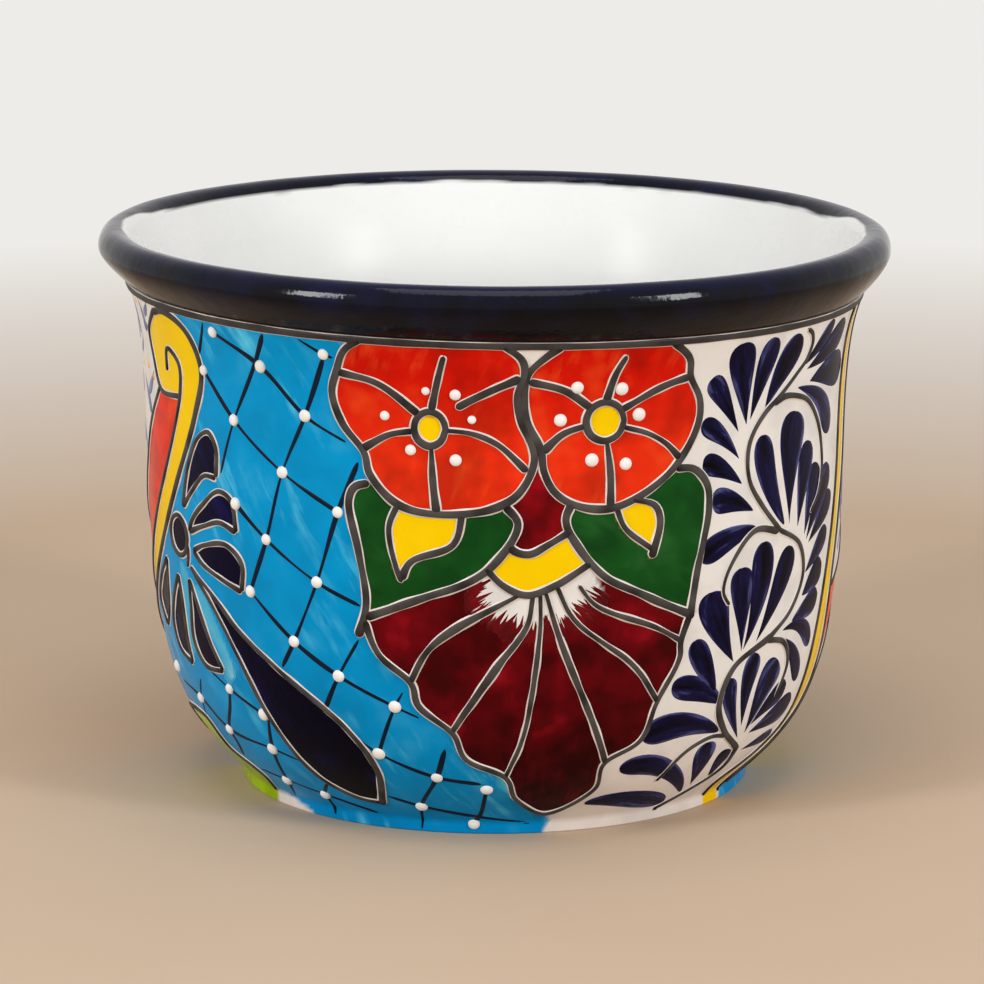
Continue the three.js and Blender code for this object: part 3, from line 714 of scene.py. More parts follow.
def rimGlaze():
    # Cobalt so thick that it is nearly black, with a painted bluish sheen round the crest and a painted brown
    # reflection of the floor at the neck, and white and less glossy past the crest.
    material, tree, shader = newFinish("cobalt_glaze", 0.16)
    thinner = share(tree, grainy(tree, 55, 4.0), 0.45, 0.75)
    cobalt = blend(tree, thinner, linear((1, 1, 7)), linear((8, 12, 42)))
    # Painted sheen: the cobalt turns lighter blue in a band round the crest.
    cobalt = blend(tree, times(tree, mark(tree, "crestSheen"), 0.8), cobalt, linear((12, 13, 55)))
    # Painted reflection: brown at the neck, where the underside faces the floor.
    cobalt = blend(tree, mark(tree, "floorReflection"), cobalt, linear((30, 16, 10)))
    inner = mark(tree, "inner")
    rough = plus(tree, share(tree, grainy(tree, 90), 0.3, 0.7, 0.07, 0.14), times(tree, inner, 0.18))
    setInputs(tree, shader, {"Base Color": blend(tree, inner, cobalt, insideWhite(tree)), "Roughness": rough})
    lumps = plus(tree, grainy(tree, 80, 3.0, 0.5), times(tree, grainy(tree, 700, 2.0), 0.13))
    relief(tree, shader, times(tree, lumps, share(tree, inner, 1, 0, 0.1, 1)), 0.0006, 0.55)
    return material


def slipBody():
    # Dark slip: matte, blotched, near black where the trailer rested.
    material, tree, shader = newFinish("slip_body", 0.12)
    blotch = share(tree, grainy(tree, 75), 0.36, 0.68)
    colour = blend(tree, blotch, linear((78, 74, 71)), linear((55, 51, 50)))
    colour = blend(tree, mark(tree, "tone"), colour, linear((18, 14, 14)))
    setInputs(tree, shader, {"Base Color": colour, "Roughness": share(tree, blotch, 0.0, 1.0, 0.5, 0.36)})
    relief(tree, shader, grainy(tree, 700), 0.00008, 0.7)
    return material


def plainFinish(name, first, second, scale, roughness, bump):
    # Two near colours in clouds, with an even gloss and a fine relief.
    material, tree, shader = newFinish(name, 0.12, roughness)
    clouds = share(tree, grainy(tree, scale), 0.35, 0.65)
    setInputs(tree, shader, {"Base Color": blend(tree, clouds, linear(first), linear(second))})
    relief(tree, shader, grainy(tree, scale * 6), bump)
    return material


def navyStroke():
    # One loaded brush stroke: dark down the middle, thin and bluer at the sides and near its root.
    material, tree, shader = newFinish("navy_stroke", 0.06)
    across = mark(tree, "stroke", "Vector")
    hairs = noise(tree, stretched(tree, across, (1.5, 0.55, 1)), 1.0)
    split = node(tree, "SeparateXYZ", {"Vector": across})
    side = node(tree, "Math", {0: split.outputs[0]}, operation="ABSOLUTE").outputs[0]
    thinner = plus(tree, times(tree, hairs, 1.15), times(tree, side, 0.3))
    colour = blend(tree, share(tree, thinner, 0.5, 0.9), linear((3, 2, 10)), linear((22, 20, 64)))
    colour = blend(tree, share(tree, thinner, 0.82, 1.08), colour, linear((84, 88, 138)))
    setInputs(tree, shader, {"Base Color": colour, "Roughness": share(tree, hairs, 0.3, 0.7, 0.18, 0.3)})
    return material


def bareClay():
    # Terracotta in soft clouds, with a coarse pale grain.
    material, tree, shader = newFinish("bare_clay", roughness=0.85)
    grain = share(tree, grainy(tree, 260, 5.0, 0.7), 0.35, 0.7)
    clouds = share(tree, grainy(tree, 24), 0.4, 0.65)
    colour = blend(tree, clouds, linear((190, 112, 72)), linear((170, 94, 58)))
    colour = blend(tree, times(tree, grain, 0.5), colour, linear((214, 150, 110)))
    setInputs(tree, shader, {"Base Color": colour})
    relief(tree, shader, grain, 0.0003, 0.8)
    return material


finishes = {
    "painted": paintedGlaze(),
    "inner": innerGlaze(),
    "rim": rimGlaze(),
    "slip": slipBody(),
    "edge": plainFinish("slip_edge", (230, 222, 214), (208, 196, 190), 140, 0.38, 0.00004),
    "lattice": plainFinish("lattice_paint", (3, 14, 34), (6, 24, 48), 90, 0.3, 0.00004),
    "bead": plainFinish("bead_glaze", (240, 238, 234), (232, 229, 224), 80, 0.22, 0.00005),
    "navy": navyStroke(),
    "crimson": plainFinish("crimson_brush", (104, 4, 13), (74, 2, 8), 160, 0.26, 0.00003),
    "haze": plainFinish("grey_blue_brush", (120, 136, 168), (82, 98, 140), 150, 0.3, 0.00003),
    "yellow": plainFinish("yellow_dot", (240, 196, 20), (232, 160, 16), 150, 0.26, 0.00003),
    "clay": bareClay(),
}
print("finishes ready")

# The thrown pieces.

potMesh = {
    "columns": 576, "wallRows": 140, "innerRows": 24, "floorRows": 11, "rollRows": (26, 20, 16, 14),
    "floorRing": 45,  # an extra ring of points across the floor
    "whiteStart": 7,  # the white inside begins this far past the crest, and nearer to it at the sides
    "whiteNearer": 4,
    "sideWidth": 0.035,
    "whiteSoft": 0.8,
    "whiteLobes": [(0.35, 5, 1), (0.25, 17, 0), (0.15, 41, 2)],
    # how far the painted bluish sheen reaches from the crest
    "crestSheenReach": 4,
    "floorReflectionStart": 1.2,  # the painted brown floor reflection's mark at the neck before it is held to 1
    "floorReflectionReach": 3.5,
}


def revolved(profile, finish, flat):
    # Each profile point turned round the axis. Faces run from one profile point to the next, and the last
    # joins the first, so the form is closed. Column a is at degrees -180 + 360 a / columns.
    columns, rows = potMesh["columns"], len(profile)
    degrees = np.repeat(-180 + 360 * np.arange(columns) / columns, rows)
    return {
        "verts": thrown(degrees, np.tile(profile[:, 0], columns), np.tile(profile[:, 1], columns)),
        "quads": gridQuads(columns, rows, True)[:, turnedRound], "caps": [], "degrees": degrees,
        "finish": np.tile(finish, columns), "flat": np.tile(np.array(flat, bool), columns),
    }


def outsideBetween(low, top, count):
    # Points of the outside, evenly spaced along the curve between two heights, and their percents.
    start, end = np.interp([low, top], outside[:, 1], arcs)
    arc = np.concatenate([[start], np.linspace(start + seamStep, end - seamStep, count - 2), [end]])
    return np.stack(wallAt(arc), axis=1), arc / perPercent


def insideWall(shape, rows):
    # Down the inside line, then the rounded corner to the floor.
    floor, neck = shape["floorTop"], shape["neck"][1]
    heights = np.concatenate([[neck], np.linspace(neck - seamStep, floor + shape["coveRise"], rows - 1)])
    wall = np.stack([insideAt(heights), heights], axis=1)
    corner = (insideAt(floor + 2) - 1, floor + shape["coveSag"])
    cove = bezier(8, wall[-1], corner, (wall[-1, 0] - shape["coveReach"], floor))
    return np.vstack([wall, cove[1:]])


def throwPiece(name, outer, percent, rest, finish, flat, coats, slot, node):
    # A revolved piece whose first rows lie on the painted outside.
    made = revolved(np.vstack([outer, rest]), finish, flat)
    values = np.concatenate([percent, np.full(len(rest) - 1, percent[-1]), percent[:1]])
    made["marks"] = paintedAt(made["degrees"], np.tile(values, potMesh["columns"]))
    makePiece(name, made, coats, slot, node)


def makeFootRing(shape):
    foot, recess, bevel = shape["footRadius"], shape["recess"], shape["footBevel"]
    inner = foot - shape["footRing"]
    outer, percent = outsideBetween(bevel, recess, 5)
    under = [(inner, recess), (inner, 1), (inner + 1, 0), (foot - bevel, 0)]
    finish, flat = [0] * 4 + [1] * 4 + [0], [0] * 4 + [1] * 5
    throwPiece("foot_ring_clay", outer, percent, under, finish, flat, ["painted", "clay"], "bare_clay", "foot_ring")


def makeFloor(shape):
    drain, low, top, bevel = shape["drainRadius"], shape["recess"], shape["floorTop"], shape["drainBevel"]
    rows, middle = potMesh["floorRows"], potMesh["floorRing"]
    outer, percent = outsideBetween(low, top, rows)
    toe = insideWall(shape, 12)[-1][0]
    eased = bevel * 0.3
    above = [(toe, top), (middle, top), (drain + bevel, top), (drain + eased, top - eased), (drain, top - bevel)]
    under = [(drain, low + bevel), (drain + eased, low + eased), (drain + bevel, low), (middle, low)]
    finish, flat = [0] * (rows - 1) + [1] * 5 + [2] * 5, [0] * (rows - 1) + [1] * 10
    coats = ["painted", "inner", "clay"]
    throwPiece("floor_clay", outer, percent, above + under, finish, flat, coats, "white_glaze", "floor_slab")


def makeWall(shape):
    rows = potMesh["wallRows"]
    outer, percent = outsideBetween(shape["floorTop"], shape["neck"][1], rows)
    inner = insideWall(shape, potMesh["innerRows"])
    finish = [0] * rows + [1] * len(inner)
    flat = [0] * (rows - 1) + [1] + [0] * (len(inner) - 1) + [1]
    coats = ["painted", "inner"]
    throwPiece("painted_wall", outer, percent, inner, finish, flat, coats, "painted_glaze", "pot_wall")


def makeRim(shape):
    # The inner mark is 1 where the white inside begins: a few millimetres past the crest, on a wavy edge,
    # and nearer to it at the two sides. The floor reflection mark is 1 at the neck, where a brown reflection of
    # the floor is painted on the underside. The crest sheen mark, for a painted bluish sheen, falls off from
    # the crest like a bell curve.
    profile = rollProfile(shape, potMesh["rollRows"])
    made = revolved(profile, [0] * len(profile), [0] * (len(profile) - 1) + [1])
    run = runAlong(profile)
    crestRun = run[sum(potMesh["rollRows"][:2]) - 2]
    turn = np.radians(made["degrees"])
    run = np.tile(run, potMesh["columns"])
    atSides = np.exp(-(((1 - np.abs(np.sin(turn))) / potMesh["sideWidth"]) ** 2))
    past = run - crestRun - potMesh["whiteStart"] + potMesh["whiteNearer"] * atSides
    past -= waves(turn, potMesh["whiteLobes"])
    made["marks"] = {
        "crestSheen": np.exp(-(((run - crestRun) / potMesh["crestSheenReach"]) ** 2)),
        "inner": np.clip(past / potMesh["whiteSoft"] + 0.5, 0, 1),
        "floorReflection": np.clip(potMesh["floorReflectionStart"] - run / potMesh["floorReflectionReach"], 0, 1),
    }
    makePiece("rolled_rim", made, ["rim"], "cobalt_glaze", "rim_roll")


makeFootRing(potShape)
makeFloor(potShape)
makeWall(potShape)
makeRim(potShape)
print("thrown pieces ready")

# The raised lines.

slipShape = {
    "pace": 1.1,
    "edge": 0.42,  # the white that shows at both sides of the dark slip
    "edgeSlow": (0.35, 5.3),  # how far it widens and narrows, and over what length
    "edgeQuick": (0.22, 1.7),
    "coreShare": 0.82,
    "layerDrop": 0.05,
    "wobble": (0.07, 6, 2.6),  # how far the width changes, over a longer and a shorter length
    "sway": (0.12, 8),  # and how far the line strays from its path
    "endSwell": (0.14, 2, 2.2),  # how much wider near an end, how far from it and over what length
    "endDark": 4,
    "blot": 0.7,  # how dark the line gets where more slip flowed
    "blotLengths": (42, 17),
    "shares": np.array([-1, -1, -1, -1, -0.9, -0.55, 0, 0.55, 0.9, 1, 1, 1, 1.0]),
    "rims": np.array([-1, -1, -0.6, -0.08, 0, 0, 0, 0, 0, 0.08, 0.6, 1, 1.0]),
    "lifts": np.array([-0.5, 0.08, 0.18, 0.2, 0.58, 0.72, 0.76, 0.72, 0.58, 0.2, 0.18, 0.08, -0.5]),
    "darkFaces": (3, 8),
    "shoulder": 0.2,  # the height at which the white edge meets the dark core
    "collarLobes": [(0.05, 17, 0), (0.04, 46, 0)],
    "collarTone": 0.3,
}
capSteps = np.radians([12, 30, 48, 66, 82])


def stationsOf(slipLine, pace, capRadius):
    # Distances along the line: even steps, and closer ones round both ends.
    path = smoothPath(slipLine["points"], slipLine["closed"])
    if slipLine["closed"]:
        path = np.vstack([path, path[:1]])
    run = lengthsAlong(path)
    total = run[-1]
    if slipLine["closed"]:
        at = np.linspace(0, total, int(total / pace) + 1)[:-1]
    else:
        cap = capRadius * (1 - np.cos(capSteps))
        body = np.linspace(capRadius, total - capRadius, max(int((total - 2 * capRadius) / pace), 2))
        at = np.concatenate([cap, body, total - cap[::-1]])
    return np.stack([np.interp(at, run, path[:, axis]) for axis in (0, 1)], axis=1), at, total


def slipCoated(shape, tone):
    # Dark slip on the middle faces of the section, white on both sides, and a tone for each station.
    count = len(slipShape["shares"])
    first, last = slipShape["darkFaces"]
    column = shape["quads"][:, 0] % count
    shape["finish"] = np.where((column >= first) & (column <= last), 0, 1)
    shape["marks"] = {"tone": np.repeat(tone, count)}
    return shape


def slipStroke(slipLine, seed):
    # Half the width runs straight from each of its widths to the next, and closes in a half circle at an
    # end: sqrt(R^2 - (R - s)^2). The white rim goes round outside the dark core.
    phase = np.random.default_rng(seed).uniform(0, math.tau, 4)
    widest = max(slipLine["widths"]) / 2 * slipShape["coreShare"]
    edge, shoulder = slipShape["edge"], slipShape["shoulder"]
    path, at, total = stationsOf(slipLine, slipShape["pace"], widest + edge)
    steps = np.linspace(0, total, len(slipLine["widths"]))
    half = np.interp(at, steps, slipLine["widths"]) / 2 * slipShape["coreShare"]
    wobble, long, short = slipShape["wobble"]
    half *= 1 + wobble * (np.sin(at / long + phase[0]) + 0.7 * np.sin(at / short + phase[1]))
    outer, core = half + edge, half.copy()
    turns = at / total * math.tau
    long, short = (round(total / length) for length in slipShape["blotLengths"])
    blots = np.sin(long * turns + phase[3]) * np.sin(short * turns + phase[2])
    tone = slipShape["blot"] * np.clip(blots, 0, 1)
    if not slipLine["closed"]:
        near = np.minimum(at, total - at)
        back = np.clip(outer - near, 0, None)
        swell, middle, reach = slipShape["endSwell"]
        half = half * (1 + swell * np.exp(-((near - middle) / reach) ** 2))
        core = np.sqrt(np.clip(half**2 - back**2, 0, None))
        outer = half + edge
        outer = np.sqrt(np.clip(outer**2 - np.clip(outer - near, 0, None) ** 2, 0.01, None))
        endTone = np.exp(-((near / slipShape["endDark"]) ** 2)) * (0.75 + 0.25 * np.sin(phase[2]))
        tone = np.maximum(tone, endTone)
    core = np.minimum(core, outer)
    (slow, slowLength), (quick, quickLength) = slipShape["edgeSlow"], slipShape["edgeQuick"]
    swing = [1 + slow * np.sin(at / slowLength + p) + quick * np.sin(at / quickLength + 2 * p) for p in phase[:2]]
    white = (outer - core)[:, None] * np.where(slipShape["rims"] < 0, swing[0][:, None], swing[1][:, None])
    sway, length = slipShape["sway"]
    across = slipShape["shares"] * core[:, None] + slipShape["rims"] * white
    across = across + sway * np.sin(at / length + phase[3])[:, None]
    rise = np.clip(core / (0.5 * widest), 0, 1)[:, None] ** 0.5
    lifts, raised = slipShape["lifts"], slipShape["lifts"] > shoulder
    lifts = np.where(raised, shoulder + (lifts - shoulder) * rise, lifts)
    lifts = lifts - slipShape["layerDrop"] * slipLine["layer"] * raised
    return slipCoated(sweep(path, across, lifts, slipLine["closed"]), np.clip(tone, 0, 1))


def turnedBy(turn, points):
    return [[x + turn, y] for x, y in points]


outlineSets = {
    "flower_pair_outline": flowerPair,
    "left_leaf_outline": leftLeaf,
    "right_leaf_outline": rightLeaf,
    "left_heart_outline": leftHeart,
    "right_heart_outline": rightHeart,
    "crescent_line": crescent,
    "shell_outline": shell,
    "horn_outline": horn,
    "horn_edge_line": hornEdge,
    "daisy_outline": daisy,
    "drop_outline": drop,
    "base_leaf_outline": baseLeaf,
    "spray_stem": sprayStem,
}
for seed, (name, strokes) in enumerate(outlineSets.items()):
    for half, turn in halves.items():
        turned = [stroke | {"points": turnedBy(turn, stroke["points"])} for stroke in strokes]
        shape = joined([slipStroke(stroke, seed * 50 + turn + k) for k, stroke in enumerate(turned)])
        makePiece(f"{half}_{name}_slip", shape, ["slip", "edge"], "slip_line", f"{half}_{name}")


def makeCollar(shape):
    # The section carried once round the neck, its half width in low sine waves.
    degrees = np.arange(-180, 180, 0.5)
    path = np.stack([degrees, np.full(len(degrees), 100 + shape["collar"] / 2 / perPercent)], axis=1)
    half = shape["collar"] / 2 * (0.89 + waves(np.radians(degrees), slipShape["collarLobes"]))
    across = slipShape["shares"] * half[:, None] + slipShape["rims"] * slipShape["edge"]
    made = slipCoated(sweep(path, across, slipShape["lifts"], True), np.full(len(path), slipShape["collarTone"]))
    makePiece("collar_slip", made, ["slip", "edge"], "slip_line", "collar_line")


makeCollar(potShape)
print("slip lines ready")

# Painted strokes, beads and dots.

strokeShape = {
    "shares": np.array([-1, -1, -0.85, -0.5, 0, 0.5, 0.85, 1, 1.0]),
    "lifts": np.array([-0.4, 0.03, 0.1, 0.16, 0.18, 0.16, 0.1, 0.03, -0.4]),
    "stations": 22,
    "ends": (0.16, 0.13),  # how much of a half turn the cosine steps leave out at the root and at the tip
    "leastHalf": 0.06,
}


def strokeLifts(scale):
    return np.where(strokeShape["lifts"] > 0, strokeShape["lifts"] * scale, strokeShape["lifts"])


def onBothHalves(name, build, coat, slot):
    for half, turn in halves.items():
        makePiece(f"{half}_{name}", build(turn), [coat], slot)


def curveThrough(root, middle, tip, t):
    # A quadratic curve that starts at the root, passes the middle halfway and ends at the tip.
    root, middle, tip = (np.array(place, float) for place in (root, middle, tip))
    handle = 2 * middle - (root + tip) / 2
    t = t[:, None]
    return (1 - t) ** 2 * root + 2 * t * (1 - t) * handle + t**2 * tip


def brushStroke(root, middle, tip, width, seed, fullness=1.0):
    # A loaded stroke from its thin root to its round end. Its width follows t^f sqrt(1 - t^5), over what
    # that comes to where it is greatest, at t^5 = f / (f + 2.5).
    start, end = strokeShape["ends"]
    t = (1 - np.cos(np.linspace(start, math.pi - end, strokeShape["stations"]))) / 2
    peak = (fullness / (fullness + 2.5)) ** 0.2
    half = width / 2 * (t / peak) ** fullness * np.sqrt((1 - t**5) / (1 - peak**5)) + strokeShape["leastHalf"]
    across = strokeShape["shares"] * half[:, None]
    shape = sweep(curveThrough(root, middle, tip, t), across, strokeLifts(np.clip(half, 0.3, 1)[:, None]))
    sides, count = np.tile(strokeShape["shares"], len(t)), len(strokeShape["shares"])
    shape["marks"] = {"stroke": np.stack([sides, np.repeat(t, count) * 3, np.full(len(sides), seed * 5.3)], axis=1)}
    return shape


# Each feather stroke: its root, its middle, its round end, its width and its fullness, which is less where
# the root is thicker.
featherStrokes = [
    [43, 82.8, 41.6, 91.1, 40.4, 98.9, 11.2, 1], [43.8, 83.6, 45.8, 91.3, 47.6, 99, 8.8, 1],
    [47.1, 85, 50.4, 91.4, 54.7, 98.1, 10.6, 1], [41.3, 81.7, 38, 88, 35.1, 92.5, 7.5, 0.95],
    [41.6, 76.6, 37.9, 81.2, 33.8, 84.2, 6.8, 0.95], [42.3, 71.8, 38, 75.2, 34.2, 76.7, 7.3, 0.8],
    [45, 66.3, 40.2, 68.7, 36.1, 69.3, 8.5, 0.8], [46, 62.9, 39.6, 61.7, 34, 58.5, 8.6, 0.6],
    [53.1, 62.1, 48.6, 71.5, 47.1, 80.3, 9.6, 0.65], [54.6, 62, 54.4, 73, 55.6, 83.4, 14, 1.3],
    [57.2, 60.9, 58.4, 68.8, 60.2, 76.9, 9.4, 1], [59.7, 58.8, 61.4, 65.7, 63.4, 72, 9.6, 1],
    [60.5, 57.7, 64.3, 64.3, 69.2, 70.2, 10.4, 1], [61.4, 56.9, 65.5, 60.5, 70.8, 64.6, 8.6, 1],
    [61, 51.1, 64.6, 54.2, 69.4, 58, 8.1, 1], [60.7, 46.7, 64.2, 49, 68, 51.5, 9.8, 0.8],
    [58, 42.3, 62.5, 43.7, 67.5, 45.4, 9, 0.8], [55.3, 41, 61.8, 40.4, 66.8, 35.3, 6.3, 0.8],
    [54.7, 39.5, 60.3, 35.3, 64.6, 28.6, 6.4, 0.8], [51.7, 22.2, 55.5, 25.9, 60.4, 28.9, 8.6, 1],
    [52.3, 20.2, 58.4, 22.2, 65.4, 24.1, 10.6, 1], [53, 15.7, 57.9, 16.6, 63.4, 17, 5.6, 1],
    [49.2, 19.8, 44.2, 27.7, 42.8, 34.2, 6.7, 1], [48.8, 22.7, 47.4, 31.2, 48.5, 38.1, 8, 1],
    [50.8, 20.6, 52.3, 29, 55.2, 35.2, 11.8, 1], [42.7, 37.5, 38.6, 45.1, 36.7, 52.2, 12.3, 1],
    [44.3, 39.2, 43.5, 47.8, 42.9, 55.8, 10.3, 1.2], [44.7, 39.5, 47.4, 49.5, 47.9, 59.9, 10.8, 1],
    [47.8, 40.4, 52, 48.8, 55.5, 57.6, 9.8, 1], [39.5, 32, 36.5, 37.4, 33.7, 43.2, 8.1, 0.65],
    [41.2, 29.6, 35.7, 33.1, 30.1, 34.4, 8.8, 0.5], [42.7, 22.9, 33.6, 26.1, 25.8, 24.3, 10.7, 0.6],
    [42.3, 6.1, 32.2, 16.2, 22.9, 17.3, 8.9, 0.6], [43.5, 8.4, 42, 14.7, 41, 20.8, 8.8, 1],
    [48.2, 8.6, 47.6, 13.4, 48.1, 17.4, 7.1, 1], [18.3, 7.5, 26.2, 7.8, 38.9, 4, 9.5, 0.55],
    [56.4, 91.6, 61.3, 95, 65.3, 99.3, 6.3, 1], [58.1, 90.9, 64.9, 93.6, 71.9, 97.4, 10.1, 1],
    [59.5, 88.3, 65.7, 89.1, 73.8, 88.5, 12, 1], [55.7, 87.8, 64.4, 83.6, 67.8, 76.7, 9.2, 0.8],
]


def feathers(turn):
    return joined([
        brushStroke((a + turn, b), (c + turn, d), (e + turn, f), width, seed + turn, fullness)
        for seed, (a, b, c, d, e, f, width, fullness) in enumerate(featherStrokes)
    ])


onBothHalves("feather_strokes", feathers, "navy", "painted_glaze")

fringeShape = {
    "middle": 6.5, "halfSpan": 11, "reach": (1.4, 4.2), "aim": (-0.3, 0.3), "lean": 0.95, "end": (0.4, 3.2),
    "bend": (-0.15, 0.15), "width": (0.9, 1.9), "fan": 0.85, "endFan": 1.3, "shorter": (0.55, 0.5),
    "fullness": 0.9,
}
fringeDraws = np.random.default_rng(7)


def fringe(turn):
    # Crimson hairs that run from the shell's colour up into the white below the crescent and fan out to both
    # sides, longest in the middle.
    strokes, draw = [], fringeDraws.uniform
    for seed, (x, y) in enumerate(smoothPath(fringeEdge)[::2]):
        side = (x - fringeShape["middle"]) / fringeShape["halfSpan"]
        reach, aim = draw(*fringeShape["reach"]), draw(*fringeShape["aim"])
        fan = (side * fringeShape["lean"] + aim) * reach * fringeShape["fan"]
        up, down = (1 - abs(side) * much for much in fringeShape["shorter"])
        root = np.array((x + turn - fan, y + reach * up))
        end = np.array((x + turn + side * fringeShape["endFan"], y - draw(*fringeShape["end"]) * down))
        middle = (root + end) / 2 + (draw(*fringeShape["bend"]), 0)
        width = draw(*fringeShape["width"])
        strokes.append(brushStroke(root, middle, end, width, seed, fringeShape["fullness"]))
    return joined(strokes)


onBothHalves("shell_fringe", fringe, "crimson", "painted_glaze")

latticeShape = {
    "pace": 1.6, "end": 0.7, "half": 0.66, "slow": (0.2, 11), "quick": (0.08, 3.4), "taper": 2.5, "least": 0.03,
    "lift": 0.7,
}
latticePaths = [
    [[-30.5, 99.5], [-26.5, 97], [-25, 96.5]],
    [[-48, 98], [-38.5, 93], [-30.5, 85], [-23.5, 81]],
    [[-52, 90], [-45, 82], [-35, 74], [-25, 68]],
    [[-45, 66.5], [-38.5, 61], [-29, 54.5], [-21.5, 51]],
    [[-42.5, 50.5], [-34, 42.5], [-26, 37], [-16.5, 32], [-12.5, 30]],
    [[-26.5, 26.5], [-20.5, 21.5], [-10.5, 16.5], [-2.5, 15]],
    [[-21.5, 9.5], [-15, 7], [-3, 4], [7.5, 2]],
    [[-56.5, 32], [-51.5, 29.5], [-43.5, 26]],
    [[-72, 26], [-64, 24.5], [-56.5, 19.5], [-44.5, 18], [-38.5, 16.5]],
    [[-54.5, 9.5], [-47, 8.5], [-37.5, 6.5], [-26, 3]],
    [[-50, 99.5], [-53, 92.5]],
    [[-37, 99.5], [-40, 92.5], [-45, 82], [-47, 76.5], [-48.5, 71.5]],
    [[-26.5, 96.5], [-30.5, 85], [-35, 74], [-38.5, 61], [-42.5, 50.5]],
    [[-21.5, 77.5], [-25, 68], [-29, 54.5], [-34, 42.5], [-37, 37]],
    [[-22, 44.5], [-26, 37], [-29.5, 29.5]],
    [[-15, 35], [-16.5, 32], [-20.5, 21.5]],
    [[-8.5, 23.5], [-10.5, 16.5], [-15, 7], [-16, 0.5]],
    [[-1.5, 13.5], [-3, 5], [-4.5, 2]],
    [[-51.5, 29.5], [-53, 25.5], [-56.5, 19.5], [-56.5, 16], [-58, 12.5]],
    [[-42.5, 25.5], [-44.5, 18], [-47, 8.5], [-49.5, 3]],
    [[-34.5, 11], [-37.5, 6.5], [-37.5, 1]],
    [[-61.5, 29], [-64, 24.5], [-65.5, 20.5]],
]


def lattice(turn):
    # Thin lines whose half width swings in two sine waves and tapers at both ends.
    (slow, slowLength), (quick, quickLength) = latticeShape["slow"], latticeShape["quick"]
    strokes = []
    for seed, points in enumerate(latticePaths):
        phase = np.random.default_rng(seed + 100).uniform(0, math.tau, 2)
        slim = even(0, 0, *turnedBy(turn, points))
        path, at, total = stationsOf(slim, latticeShape["pace"], latticeShape["end"])
        half = latticeShape["half"] + slow * np.sin(at / slowLength + phase[0])
        half = half + quick * np.sin(at / quickLength + phase[1])
        near = np.minimum(at, total - at) / latticeShape["taper"]
        half = half * np.clip(near, 0, 1) ** 0.4 + latticeShape["least"]
        strokes.append(sweep(path, strokeShape["shares"] * half[:, None], strokeLifts(latticeShape["lift"])))
    return joined(strokes)


onBothHalves("lattice_lines", lattice, "lattice", "painted_glaze")


domeShape = {"around": 16, "rings": 6, "arc": (-0.25, 1.35)}


def domes(where, radius, height):
    # A dome on the wall for each place: R cos a across, h sin a up, closed by a point at the top and a flat
    # face under the wall.
    around, rings = domeShape["around"], domeShape["rings"]
    where = np.array(where, float)
    up = np.linspace(*domeShape["arc"], rings)
    turn = np.arange(around) * math.tau / around
    reach = np.cos(np.clip(up, 0, None))[None, :, None] * radius[:, None, None]
    lift = np.sin(up)[None, :, None] * height[:, None, None]
    degrees = where[:, :1, None] + reach * np.cos(turn) / perDegreeAt(where[:, 1])[:, None, None]
    percent = where[:, 1:, None] + reach * np.sin(turn) / perPercent
    body = onPot(degrees.ravel(), percent.ravel(), np.broadcast_to(lift, degrees.shape).ravel())
    starts = np.arange(len(where)) * rings * around
    quads = (gridQuads(rings, around) + starts[:, None, None]).reshape(-1, 4)
    caps = []
    for k, first in enumerate(starts.tolist()):
        last = first + (rings - 1) * around
        caps += [[last + i, last + (i + 1) % around, len(body) + k] for i in range(around)]
        caps.append([first + i for i in range(around)][::-1])
    verts = np.vstack([body, onPot(where[:, 0], where[:, 1], height)])
    return {"verts": verts, "quads": quads, "caps": caps, "finish": np.zeros(len(quads), int), "marks": {}}


beadGroups = {
    "lattice": {"radius": (1.8, 2.2), "places": [
        [-26.5, 97], [-48, 98], [-38.5, 93], [-30.5, 85], [-52, 90], [-45, 82], [-35, 74], [-25, 68], [-45, 66.5],
        [-38.5, 61], [-29, 54.5], [-42.5, 50.5], [-34, 42.5], [-26, 37], [-16.5, 32], [-20.5, 21.5],
        [-10.5, 16.5], [-1.5, 13.5], [-15, 7], [-4.5, 2], [-51.5, 29.5], [-43.5, 26], [-64, 24.5],
        [-56.5, 19.5], [-44.5, 18], [-47, 8.5], [-37.5, 6.5], [-73.5, 28.5],
    ]},
    "leftFlower": {"radius": (1.3, 1.95), "places": [
        [-10.5, 91.5], [-6, 91], [-17, 86.5], [-3.5, 86.5], [-13, 80.5], [-6, 79],
    ]},
    "rightFlower": {"radius": (1.95, 2.25), "places": [
        [12.5, 92.5], [19.5, 92], [10, 86.5], [22.5, 87], [15, 79], [20.5, 78],
    ]},
}
beadRise = 0.58  # the height over the radius
beadDraws = np.random.default_rng(3)
beadPlaces = sum([group["places"] for group in beadGroups.values()], [])
beadRadii = np.concatenate(
    [beadDraws.uniform(*group["radius"], len(group["places"])) for group in beadGroups.values()]
)


def beads(turn):
    return domes(turnedBy(turn, beadPlaces), beadRadii, beadRadii * beadRise)


onBothHalves("white_beads", beads, "bead", "white_glaze")

# The horn's white mouth: each dab's root, its round end and its width, and the small yellow dots.
mouthDabs = [
    [-73.9, 99.8, -73.4, 93.2, 3.2], [-68.4, 99.9, -72.2, 96.6, 2.6], [-73.4, 95.8, -71.2, 92.6, 2.4],
    [-71.4, 86, -76, 81, 3.4], [-79.6, 83.8, -75, 77.4, 3.8], [-82, 98.5, -79.5, 91.5, 3.2],
    [-77.5, 92, -80.5, 88, 2.4], [-87, 97, -84.5, 89.5, 3.2], [-91.5, 90, -88, 82, 3.4], [-84, 84, -87, 79, 2.6],
    [-95, 97, -92.5, 88, 3.2], [-83.5, 73, -80, 68.5, 2.6], [-90, 76, -86, 69.5, 3.2], [-96.5, 80, -93.5, 72, 3.4],
    [-93, 66, -89.5, 59.5, 3], [-99, 68, -97, 59, 3.6], [-101, 63, -97.5, 56.5, 3.2], [-96, 55, -99.5, 51, 2.8],
]
